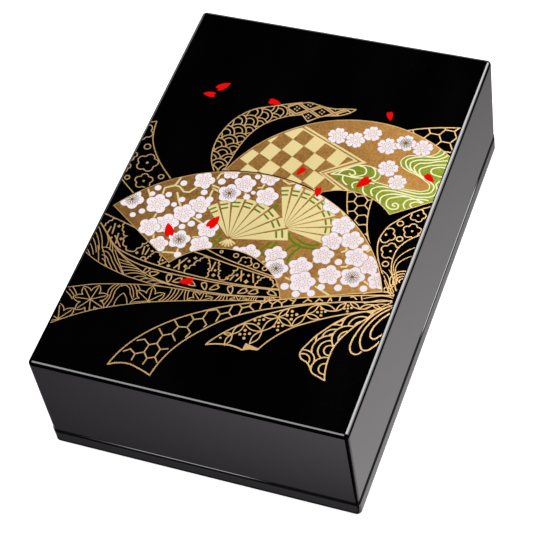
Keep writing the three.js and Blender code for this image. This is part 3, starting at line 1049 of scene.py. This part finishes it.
# %% Blossoms
blossom_rim = 0.4
stamen_foot = 0.3
large_dot = 0.5
light_heart = ("rose", 0.13, [(10, 0.6, 0.31), (10, 0.42, 0.31), (5, 0.2, 0.33)])
dark_heart = ("dark", 0.2, [(15, 0.62, 0.22), (15, 0.5, 0.3), (15, 0.38, 0.34), (7, 0.25, 0.4), (1, 0, 1.0)])


def blossom(outline, centre, size, turn, dark, within):
    """A white blossom on its rim. A heart has an ink, the width of its threads and its rings of dots, each
    ring given by how many dots it has, its share of the blossom's reach and the dots' size."""
    centre = np.array(centre)
    art.paint(placed(outline, centre, size + blossom_rim, turn), "fan", within)
    petals = art.paint(placed(outline, centre, size, turn), "white", within)
    ink, threads, rings = dark_heart if dark else light_heart
    for k, (many, reach, dot) in enumerate(rings):
        for way in bearing(turn + (np.arange(many) + k % 2 / 2) * 360 / many):
            tip = centre + reach * size * way
            if k == 0:
                art.lines([[centre + stamen_foot * (tip - centre), tip]], ink, threads, petals)
            art.paint(disc(tip, dot, 10 if dot > large_dot else 6), ink, petals)


for centre, size, turn, dark in [((19.3, 51.2), 5.6, 92, False), ((28.8, 50.6), 5.4, 84, False),
                                 ((36.1, 56.6), 5.1, 96, False), ((46, 50.4), 5.6, 88, False),
                                 ((63.6, 53.4), 5.6, 96, False), ((54.4, 54.6), 5.5, 80, True),
                                 ((57.8, 29), 5, 100, False), ((50.6, 36.6), 5.6, 84, False)]:
    blossom(cherry_outline(), centre, size, turn, dark, upper_leaf)
edge_inset = 0.3
art.lines([arc(upper_pivot, upper_radius - edge_inset, 20, 170, 90), upper_near_edge], "gold", fine_line)
print(len(art.outlines), "figures with the upper fan")

# %% [markdown]
# ### The lower fan
# The lower fan lies in front, and a thin line of black parts it from the upper one. Plum branches cross its
# ground, and on them lie two small folding fans with green streamers.

# %% The lower fan's leaf and branches
lower_pivot, lower_radius, lower_inner = np.array((-7.3, -65.4)), 83.3, 34.2
lower_start, lower_end = 19.8, 146.6
parting_line = 0.7


def sector(outer):
    """The leaf's outline: along the outer arc and back along the inner one."""
    return np.vstack([arc(lower_pivot, outer, lower_start, lower_end, 110),
                      arc(lower_pivot, lower_inner, lower_end, lower_start, 40)])


art.paint(sector(lower_radius + parting_line), "bare", sheet)
lower_leaf = art.paint(sector(lower_radius), "fan", sheet)
branch_line, streamer_line = 1.0, 1.3
for points in [[(-49.6, 6.4), (-50.8, 0.2), (-55.4, -2.6), (-55, -6.8)], [(-63.4, -5.6), (-59.4, -11.2)],
               [(-50.8, 0.2), (-48.2, 0), (-45, -2.6), (-42.2, -2.2), (-39.6, 1.6)],
               [(-48, -4), (-45, -9.4), (-42.4, -12.6)], [(-31.3, 9.6), (-30.9, 12.6), (-28.6, 15)],
               [(-32, 4.8), (-28.2, 4.1), (-27.6, 2.2)], [(-31.2, 3), (-27, 1.6), (-24, 0.4)],
               [(-31, 1.6), (-30.9, -2.4)], [(-53.4, -19.6), (-54, -23.6)], [(-34.2, -17.2), (-29, -19.2)],
               [(-30, -28.8), (-26.6, -27.8)], [(-49.8, -32), (-48.8, -35)], [(-41.6, -41.2), (-35, -40.2)],
               [(-34.6, -37.6), (-34.2, -40.6)], [(-9, 9), (-7, 9.4), (-6.6, 11.6)],
               [(-14.6, 5), (-13.4, 3)], [(2, 16.4), (5.4, 15), (8.8, 16.6)], [(36, 5.6), (38.8, 2.6)],
               [(45.4, -15), (46.8, -17.6), (44.8, -19.4)], [(58.2, -13.8), (56.8, -16)],
               [(50.4, -25.6), (49.6, -27.4), (47.4, -28)], [(33.6, -26.8), (33, -28.8)],
               [(41.6, -36.8), (38.6, -37.6)], [(23.4, -41), (26.8, -41.8)], [(60.8, -33.6), (66.2, -36.2)],
               [(39, -42.4), (47, -45.6)], [(11.2, -33.4), (9.2, -34.6)], [(17.4, 15.4), (18.6, 12.8)],
               [(42.4, -8.6), (42.6, -9.8)]]:
    art.lines([points], "pale", branch_line, lower_leaf)

for points in [[(15.6, -14.8), (18, -18.4), (22.6, -20.8), (27, -21.4), (31.4, -20.6)],
               [(21, -17.2), (24.6, -18.8), (29.6, -19), (33, -17)],
               [(17.8, -26), (19.4, -22.4), (22.8, -20.4)], [(20.6, -31.2), (21.2, -27.2), (24, -22)],
               [(5.8, -27.8), (8, -24), (9.2, -20), (8.4, -17.6)], [(5.2, -31.6), (8.6, -29.4), (10, -27)],
               [(10.4, -25.4), (11.6, -21.8), (11.2, -18.4)],
               [(-21.6, -27.6), (-19.4, -26.4), (-17.2, -23.6)],
               [(-18.2, -31.6), (-17, -28.6), (-15.8, -26.2)], [(2.6, -1.6), (4.4, 0.4), (3.4, -2.6)]]:
    art.lines([through(points, 14)], "leaf", streamer_line, lower_leaf)
print(len(art.outlines), "figures with the lower fan's branches")

# %% [markdown]
# A small folding fan is a row of blades that turn about one point. Painting each blade as a slim four-sided
# figure is enough, with a wedge of the ground over every seam between two of them.

# %% The two small fans
dash_width, dash_shares, dash_middle, dash_half = 1.0, (0.90, 0.80), 0.4, 0.27
gap_narrow, gap_wide, gap_past = 0.09, 0.6, 0.3


def folding_fan(pivot, start, end, blades, near, far, far_end):
    """Blades side by side, each cut straight at its end and a little longer than the one before. Each has
    two green dashes across it, and the ground shows between them as a gap that widens outwards."""
    edges = np.linspace(start, end, blades + 1)
    reach = np.linspace(far, far_end, blades)
    for a, b, r in zip(edges[:-1], edges[1:], reach):
        art.paint(pivot + np.array([near * bearing(a), r * bearing(a), r * bearing(b), near * bearing(b)]),
                  "pale", lower_leaf)
        middle, half = a + (b - a) * dash_middle, (a - b) * dash_half
        for share in dash_shares:
            dash = pivot + share * r * bearing([middle + half, middle - half])
            art.lines([dash], "leaf", dash_width, lower_leaf)
    for a, r in zip(edges, np.append(reach, far_end)):
        narrow, wide = gap_narrow * bearing(a + 90), gap_wide * bearing(a + 90)
        inner, outer = pivot + near * bearing(a), pivot + (r + gap_past) * bearing(a)
        art.paint([inner - narrow, outer - wide, outer + wide, inner + narrow], "fan", lower_leaf)


folding_fan(np.array((11.6, -12.4)), 112, -12, 9, 2.2, 26.4, 27)
front_fan = np.array((-12.4, -25.4))
folding_fan(front_fan, 138, 11, 8, 1.5, 24, 29.8)
tassel_start, tassel_step, tassel_line = 215, 21, 0.9
for way in tassel_start + tassel_step * np.arange(6):
    thread = front_fan + [0.9 * bearing(way + 20), 4.6 * bearing(way + 14)]
    art.lines([thread], "pale", tassel_line, lower_leaf)
print(len(art.outlines), "figures with the small fans")

# %% [markdown]
# Plum blossoms are scattered over the branches, a centimetre or two apart, and round buds sit between them.
# A bud is a plain white disc.

# %% Plum blossoms and buds on the lower fan
for centre, size, turn, dark in [
        ((-37.4, 6.8), 5.5, 84, 0), ((-25.6, 15.4), 4.8, 100, 0), ((-16.4, 9.6), 5.7, 96, 0),
        ((-22, 2), 5.9, 92, 1), ((-5.2, 16.4), 5.0, 80, 0), ((-2.8, 4.6), 5.9, 88, 0),
        ((-69, -13.6), 6.1, 76, 1), ((-55.2, -13.2), 6.2, 94, 0), ((-34.2, -8.8), 5.6, 100, 0),
        ((-40, -15.8), 5.9, 86, 0), ((-46.2, -24.2), 6.4, 94, 0), ((-53.8, -28), 5.7, 80, 0),
        ((-36.2, -31.8), 5.7, 92, 1), ((-24.6, -22), 5.6, 100, 0), ((-24.4, -32.6), 5.8, 84, 0),
        ((-45.2, -37), 4.9, 96, 0), ((31.6, 8), 5.8, 80, 0), ((40, -3.8), 6.0, 88, 0),
        ((38, -14.2), 5.5, 96, 0), ((47.4, -11.2), 5.6, 84, 0), ((59.8, -24), 5.8, 100, 0),
        ((52.4, -20.8), 5.8, 88, 0), ((36.4, -23.6), 5.6, 96, 0), ((0.6, -31.8), 5.9, 90, 0),
        ((13.8, -29.4), 5.7, 94, 0), ((16.8, -36.8), 6.0, 84, 1), ((28, -33), 6.0, 96, 0),
        ((31.8, -41.4), 6.5, 88, 0), ((43.2, -34.2), 5.9, 94, 0), ((54.4, -32.6), 6.1, 84, 1),
        ((67, -32), 5.0, 100, 0)]:
    blossom(plum_outline(), centre, size, turn, dark, lower_leaf)
for x, y, size in [
        (-47, 2.6, 1.8), (-58.8, -3.4, 1.8), (-51.8, -6.2, 1.7), (-60.2, -7.7, 1.5), (-44, -7.6, 1.7),
        (-46.8, -11.6, 1.5), (-34.7, -0.5, 1.8), (-30.3, -4.2, 1.9), (-28.4, 8.3, 2), (-11.6, 15.6, 1.5),
        (-10.3, 5.3, 1.2), (-12.6, 1.9, 1.8), (-31.8, -15.6, 1.6), (-33.8, -21, 1.9), (-37.7, -23.9, 1.7),
        (-61.2, -19.6, 1.7), (-64.9, -22.9, 1.6), (-33.4, -41, 1.9), (-6.5, -30.4, 1.6), (10.6, 14.6, 1.9),
        (22.6, 11.2, 1.8), (55.1, -14, 1.9), (45.1, -25.6, 1.9), (41.8, -42, 1.9), (49.8, -40.4, 2),
        (61.8, -37.8, 1.9), (24.5, -46, 2.1), (38.2, -46.7, 2), (31.2, -49, 2), (63.9, -28.6, 1.3),
        (64.6, -33.4, 1.3)]:
    art.paint(disc((x, y), size, 14), "white", lower_leaf)
outline_inset = 0.2
art.loop(sector(lower_radius - outline_inset), "gold", fine_line)
print(len(art.outlines), "figures with the lower fan")

# %% [markdown]
# Last come the red petals. They are adrift over everything else, so they are painted after it.

# %% Red petals
for centre, long, turn in [((-50.4, 69.8), 8.4, 42), ((-55.8, 62.8), 7, 182), ((-20.1, 65.4), 7.2, -6),
                           ((41.2, 70.1), 6.4, -68), ((8.3, 24.3), 6.6, 248), ((41.4, 24.8), 9.6, 236),
                           ((72.6, 35.4), 7.2, -38), ((21.2, 13.6), 6.8, -80), ((-23.2, -17.2), 9.4, 70),
                           ((-43.4, -27.4), 9.2, 118), ((-23.4, -55.2), 7.8, 200)]:
    art.paint(placed(petal_outline(), centre, long, turn), "red", sheet)
print(len(art.outlines), "figures,", sum(map(len, art.outlines)), "points")

# %% [markdown]
# ## From figures to films of ink
# All the figures are cut against each other at once: a triangulation takes every outline as a line that it
# must follow, and tells for each triangle which figures cover it. A triangle's ink is that of the last
# figure painted over it, provided the figures that hold that one cover the triangle too. The triangles of
# one ink then make its film: a top, an underside sunk a little into the lacquer, and walls along every edge
# that has no neighbour.

# %% Cutting the figures
inside_only = 1
same_point = 1e-5
counts = np.array([len(outline) for outline in art.outlines])
starts = np.r_[0, np.cumsum(counts)[:-1]]
corners = np.vstack(art.outlines)
figures = [list(range(start, start + count)) for start, count in zip(starts.tolist(), counts.tolist())]
flat_points = [Vector(point) for point in corners.tolist()]
cut = delaunay_2d_cdt(flat_points, [], figures, inside_only, same_point, True)
points = np.array(cut[0])
triangles = np.array(cut[2])
covers = np.array([len(over) for over in cut[5]])
cover_triangle = np.repeat(np.arange(len(triangles)), covers)
cover_figure = np.concatenate([np.array(over, int) for over in cut[5]])
print(len(corners), "points became", len(points), "points and", len(triangles), "triangles")

# %% Mending spilt figures
def area(outline):
    """The area inside a closed outline: half the sum of the cross products of neighbouring corners."""
    x, y = np.moveaxis(outline, -1, 0)
    return (x * np.roll(y, -1, -1) - y * np.roll(x, -1, -1)).sum(-1) / 2


def goes_round(outline, places):
    """Whether the outline goes round each place: the sides that pass its level on its right, counted as 1
    upwards and as -1 downwards, don't cancel out."""
    (x, y), (end_x, end_y) = outline.T, np.roll(outline, -1, 0).T
    at_x, at_y = places[:, :1], places[:, 1:]
    side = (end_x - x) * (at_y - y) - (at_x - x) * (end_y - y)
    rises = (y <= at_y) & (end_y > at_y) & (side > 0)
    falls = (y > at_y) & (end_y <= at_y) & (side < 0)
    return (rises.sum(1) - falls.sum(1)) != 0


# Where many lines meet nearly at a tangent, the triangulation can lose its way and let a figure spill. Such
# a figure covers more or less than its own area, and its triangles are then picked anew by their middles.
spill = 0.02
middles = points[triangles].mean(1)
covered = np.bincount(cover_figure, area(points[triangles])[cover_triangle], len(figures))
own = np.array([area(outline) for outline in art.outlines])
spilt = np.flatnonzero(abs(covered - own) > spill * own + spill)
kept = ~np.isin(cover_figure, spilt)
cover_triangle, cover_figure = [cover_triangle[kept]], [cover_figure[kept]]
for figure in spilt:
    inside = np.flatnonzero(goes_round(art.outlines[figure], middles))
    cover_triangle.append(inside)
    cover_figure.append(np.full(len(inside), figure))
cover_triangle, cover_figure = np.concatenate(cover_triangle), np.concatenate(cover_figure)
print(len(spilt), "figures were picked anew, the worst off by", round(abs(covered - own).max(), 2),
      "square mm")

# %% The ink of each triangle
def last_painted(triangle, figure):
    """For each triangle, the last figure that covers it. A figure counts only where the one that holds it
    counts too, which is tested outwards from the figures that nothing holds."""
    holder = np.array(art.within)
    depth = np.zeros(len(holder), int)
    for number, held_by in enumerate(art.within):
        depth[number] = depth[held_by] + 1 if held_by >= 0 else 0
    key = triangle * len(holder) + figure
    counted = depth[figure] == 0
    for level in range(1, depth.max() + 1):
        here = depth[figure] == level
        counted[here] = np.isin(triangle[here] * len(holder) + holder[figure[here]], key[counted])
    top = np.zeros(triangle.max() + 1, int)
    np.maximum.at(top, triangle[counted], figure[counted])
    return top


top_figure = last_painted(cover_triangle, cover_figure)
ink_names = sorted(set(art.inks))
ink_of_triangle = np.array([ink_names.index(ink) for ink in art.inks])[top_figure]
print("inks:", {name: int((ink_of_triangle == k).sum()) for k, name in enumerate(ink_names)})

# %% [markdown]
# A film has to be closed, as a real thin layer is. Two patches of one ink may touch in a single point, and
# if they shared that point, the film's wall would be pinched there. So each patch gets its own copy of it.

# %% Making the films
def own_corners(triangles, count):
    """Numbers of the triangles' corners such that patches which touch in one point only don't share it:
    corners are joined across each shared edge, and every group takes its lowest number."""
    corner = np.arange(triangles.size).reshape(-1, 3)
    start, end = triangles.ravel(), np.roll(triangles, -1, 1).ravel()
    start_corner, end_corner = corner.ravel(), np.roll(corner, -1, 1).ravel()
    key, reverse = start * count + end, end * count + start
    order = np.argsort(key)
    place = np.searchsorted(key[order], reverse).clip(max=len(order) - 1)
    mate = order[place]
    shared = key[mate] == reverse
    one = np.r_[start_corner[shared], end_corner[shared]]
    other = np.r_[end_corner[mate[shared]], start_corner[mate[shared]]]
    group = np.arange(triangles.size)
    changed = True
    while changed:
        before = group.copy()
        low = np.minimum(group[one], group[other])
        np.minimum.at(group, one, low)
        np.minimum.at(group, other, low)
        changed = (group != before).any()
    numbers, number = np.unique(group, return_inverse=True)
    return numbers, number.reshape(-1, 3), np.c_[start, end][~shared], ~shared


ink_sunk = 0.03
film_top, film_bottom = lid_high[2], lid_top - ink_sunk


def film(name, chosen, ink):
    """A closed film from the chosen triangles, laid on the lid."""
    faces = triangles[chosen]
    numbers, top, _, outer = own_corners(faces, len(points))
    places = points[faces.ravel()[numbers]]
    count = len(places)
    edge = np.stack([top, np.roll(top, -1, 1)], -1).reshape(-1, 2)[outer]
    start, end = edge.T
    walls = np.vstack([np.c_[start + count, end + count, end], np.c_[start + count, end, start]])
    sides = np.vstack([top, top[:, ::-1] + count, walls])
    places = np.vstack([np.c_[places, np.full(count, film_top)], np.c_[places, np.full(count, film_bottom)]])
    mesh = bpy.data.meshes.new(name)
    mesh.vertices.add(len(places))
    mesh.vertices.foreach_set("co", (places * mm).ravel())
    mesh.loops.add(sides.size)
    mesh.loops.foreach_set("vertex_index", sides.ravel().astype(np.int32))
    mesh.polygons.add(len(sides))
    mesh.polygons.foreach_set("loop_start", np.arange(0, sides.size, 3, dtype=np.int32))
    mesh.update(calc_edges=True)
    mesh.shade_flat()
    spread = (places[:, :2] + places[:, 2:] - film_top) / (2 * lid_half_length) + 0.5
    layer = mesh.uv_layers.new(name="OFBake")
    layer.uv.foreach_set("vector", spread[sides.ravel()].ravel())
    mesh.materials.append(ink)
    piece = bpy.data.objects.new(name, mesh)
    scene.collection.objects.link(piece)
    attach(piece, "root")
    print(name, len(sides), "triangles")


print("films from level", round(film_bottom, 2), "to", round(film_top, 2), "mm")

# %% [markdown]
# ## Inks
# The inks are metal powders and pigments in lacquer. Gold and bronze powder glint, but not like polished
# metal: the flakes lie at all angles, so their shine is broad, and their cover is a little uneven, thin
# here and full there. The green of the water is such a powder too. White, red, the pale inks and the other
# inks are pigment, nearly matt. Each ink has fine grain in its colour, a broad unevenness over the width of
# the print, and a surface that is slightly rough.

# %% Ink materials
broad_cell, broad_share = 26, 0.45
ink_range = (0.3, 0.7)
flake_roughness = 0.08
ink_ior = 1.45


def ink(name, thin, full, metal, roughness, gloss=0.1, grain=0.35, depth=0.01):
    """A printed ink: its colour where it lies thin and where it lies full, how metallic and rough it is,
    its gloss, and the size of its grain and the depth of that in millimetres."""
    finish = Finish(name)
    broad = finish.noise(broad_cell, 2).within(*ink_range)
    flakes = finish.noise(grain, 1).within(*ink_range)
    cover = broad * broad_share + flakes * (1 - broad_share)
    return finish.done(
        Base_Color=finish.mix(cover, tint(*thin), tint(*full)), Metallic=metal,
        Roughness=roughness + flakes * flake_roughness, Normal=finish.bump(flakes, depth),
        IOR=ink_ior, Specular_IOR_Level=gloss)


ink_finishes = {
    "gold": ("gold_lines", "gold_line_ink",
             ink("gold_line_ink", (222, 176, 118), (246, 208, 146), 0.86, 0.33)),
    "fan": ("fan_grounds", "fan_gold_ink",
            ink("fan_gold_ink", (162, 113, 54), (217, 161, 88), 0.92, 0.31, 0.1, 0.9)),
    "pale": ("pale_gold", "pale_gold_ink",
             ink("pale_gold_ink", (224, 205, 142), (240, 224, 162), 0.3, 0.42)),
    "white": ("blossoms", "white_ink", ink("white_ink", (236, 224, 232), (243, 236, 240), 0.0, 0.55)),
    "rose": ("stamens", "rose_ink", ink("rose_ink", (192, 138, 84), (208, 156, 102), 0.1, 0.5)),
    "cream": ("water_lines", "pale_gold_ink", ink("cream_ink", (236, 232, 176), (246, 243, 196), 0.2, 0.45)),
    "green": ("water", "green_ink", ink("green_ink", (112, 130, 22), (170, 182, 74), 0.9, 0.33, 0.1, 0.7)),
    "leaf": ("green_strokes", "green_ink", ink("dark_green_ink", (86, 112, 8), (112, 134, 24), 0.3, 0.4)),
    "red": ("red_petals", "red_ink", ink("red_ink", (216, 4, 2), (232, 10, 4), 0.0, 0.45, 0.02)),
    "dark": ("dark_hearts", "dark_ink", ink("dark_ink", (104, 78, 22), (130, 102, 40), 0.1, 0.6)),
}
middle_y = middles[:, 1]
parting = -20.0
for name, (piece_name, slot, material) in ink_finishes.items():
    chosen = ink_of_triangle == ink_names.index(name)
    if name == "gold":
        film(piece_name + "_back", chosen & (middle_y > parting), material)
        film(piece_name + "_front", chosen & (middle_y <= parting), material)
    else:
        film(piece_name, chosen, material)

# %% [markdown]
# ## The studio
# The floor is plain and pale, and the light soft. Polished lacquer shows only what it mirrors, so the room
# is lit by an even pale sky that gives light but isn't mirrored, and what the lacquer does mirror is set
# one by one, as a product photographer does with cards: a card that glows with painted light and shade lies
# on the floor along each side of the box, and long softboxes draw the bright lines along the rounded edges
# of the lid. The floor glows a little itself, like a light table, so that the box casts hardly any shadow on
# it.

# %% Floor
def flat_piece(name, low, high, level, material):
    """A flat piece from its low to its high corner, at a level, in millimetres."""
    corners = [(low[0], low[1], level), (high[0], low[1], level), (high[0], high[1], level),
               (low[0], high[1], level)]
    mesh = bpy.data.meshes.new(name)
    mesh.from_pydata((np.array(corners, float) * mm).tolist(), [], [(0, 1, 2, 3)])
    mesh.materials.append(material)
    piece = bpy.data.objects.new(name, mesh)
    scene.collection.objects.link(piece)
    return piece


floor_glow = 0.9
paper = Finish("floor_paper")
paper_white = paper.mix(paper.noise(300, 1), tint(236, 236, 235), tint(242, 242, 241))
floor_material = paper.done(Base_Color=paper_white, Roughness=0.9, Specular_IOR_Level=0.1,
                            Emission_Color=paper_white, Emission_Strength=floor_glow)
floor_reach = 6000
floor = flat_piece("floor", (-floor_reach, -floor_reach), (floor_reach, floor_reach), 0, floor_material)
floor.visible_glossy = False
print("floor", 2 * floor_reach, "mm wide")

# %% [markdown]
# The lacquer's upright sides mirror what lies on the floor beside them. A card there needs no lamp, since
# it glows by itself. Its glow is painted light and shade: its corners glow differently, as the light and
# shade on a white card that is lit from one side would, and only the left card is even. Mirrors alone see
# the cards, so they neither light the ink nor show in the picture.

# %% Cards that only the lacquer sees
card_lift = 0.2
near, far, far_back, under = 1, 90, 600, 0.8


def card(name, low, high, levels, cast=(1, 1, 1)):
    """A glowing card on the floor. levels are its glow at the four corners, from the low corner round and
    counter-clockwise. In between, the glow is a blend of the four. cast is its slight colour."""
    glow = Finish(name)
    place = glow.node("ShaderNodeSeparateXYZ", {}, {0: glow.place()})
    share_x, share_y = (Wire(glow, place.outputs[axis]).within(low[axis] * mm, high[axis] * mm)
                        for axis in (0, 1))
    front = levels[0] + share_x * (levels[1] - levels[0])
    back = levels[3] + share_x * (levels[2] - levels[3])
    light = glow.wire("ShaderNodeEmission", {},
                      {"Color": (*cast, 1), "Strength": front + share_y * (back - front)})
    glow.fill(glow.tree.nodes["Material Output"], {"Surface": light})
    piece = flat_piece(name, low, high, card_lift, glow.material)
    for ray in ("camera", "diffuse", "transmission", "shadow", "volume_scatter"):
        setattr(piece, "visible_" + ray, False)


right, back = base_half_width, base_half_length
# The corner glows below are painted light and shade, brighter where a lamp would light the card.
card("card_front", (-right - far, -back - far), (right + near, -back - near),
     (0.06, 0.69, 0.112, 0.076), (1.02, 0.95, 1.05))
card("card_right", (right - under, -back), (right + far, back + far),
     (0.44, 0.51, 0.17, 0.20), (1.02, 0.985, 0.995))
card("card_back", (-right - far, back + near), (right + near, back + far_back), (0.4, 0.4, 0.1, 0.1))
card("card_left", (-right - far, -back - near), (-right - near, back + near), (0.3, 0.3, 0.3, 0.3))
print("four cards round the box")

# %% [markdown]
# The sky lights everything evenly, and is faint. The softboxes give the lacquer its bright lines, and the
# ink most of its light. Each is placed by the direction that it shines from, as on a real stand that is
# turned and raised.

# %% Sky and softboxes
sky_light = 0.12
world = bpy.data.worlds.new("soft room")
scene.world = world
world.use_nodes = True
world.node_tree.nodes["Background"].inputs["Color"].default_value = (1, 1, 1, 1)
world.node_tree.nodes["Background"].inputs["Strength"].default_value = sky_light
world.cycles_visibility.glossy = False


def softbox(name, azimuth, elevation, width, height, roll, brightness, shift=0, distance=1500):
    """A rectangular light that faces the box, its width level and then rolled about its own line of sight,
    and shifted along its width. Azimuth 0 is to the right of the box and 90 behind it. The power follows
    from the brightness wanted: a flat light's power is its brightness times its area times pi."""
    lamp = bpy.data.lights.new(name, "AREA")
    lamp.shape = "RECTANGLE"
    lamp.size, lamp.size_y = width * mm, height * mm
    lamp.energy = brightness * lamp.size * lamp.size_y * np.pi
    light = bpy.data.objects.new(name, lamp)
    scene.collection.objects.link(light)
    a, e = np.radians([azimuth, elevation])
    way = Vector((np.cos(a) * np.cos(e), np.sin(a) * np.cos(e), np.sin(e)))
    facing = way.to_track_quat("Z", "Y").to_matrix().to_4x4()
    rolled = Matrix.Translation(way * distance * mm) @ facing @ Matrix.Rotation(np.radians(roll), 4, "Z")
    light.matrix_world = rolled @ Matrix.Translation((shift * mm, 0, 0))


# The long light on the right is two that touch: the upper one is bright and the lower one dim.
right_aim = (49.7, 44.3)
softbox("softbox_right_high", *right_aim, 1200, 620, 50.5, 7.2, 375)
softbox("softbox_right_low", *right_aim, 750, 620, 50.5, 2.0, -600)
softbox("softbox_front", -151, 68, 1000, 650, -31, 3.8)
softbox("softbox_back", 118, 18, 1700, 800, 0, 0.95)

# %% [markdown]
# The picture is shown as it is, with no film-like curve over it, so that the colours set above are the ones
# seen.

# %% Colours as the camera gives them
scene.view_settings.view_transform = "Standard"
scene.view_settings.look = "None"
scene.view_settings.exposure = 0
scene.view_settings.gamma = 1
print("view:", scene.view_settings.view_transform)
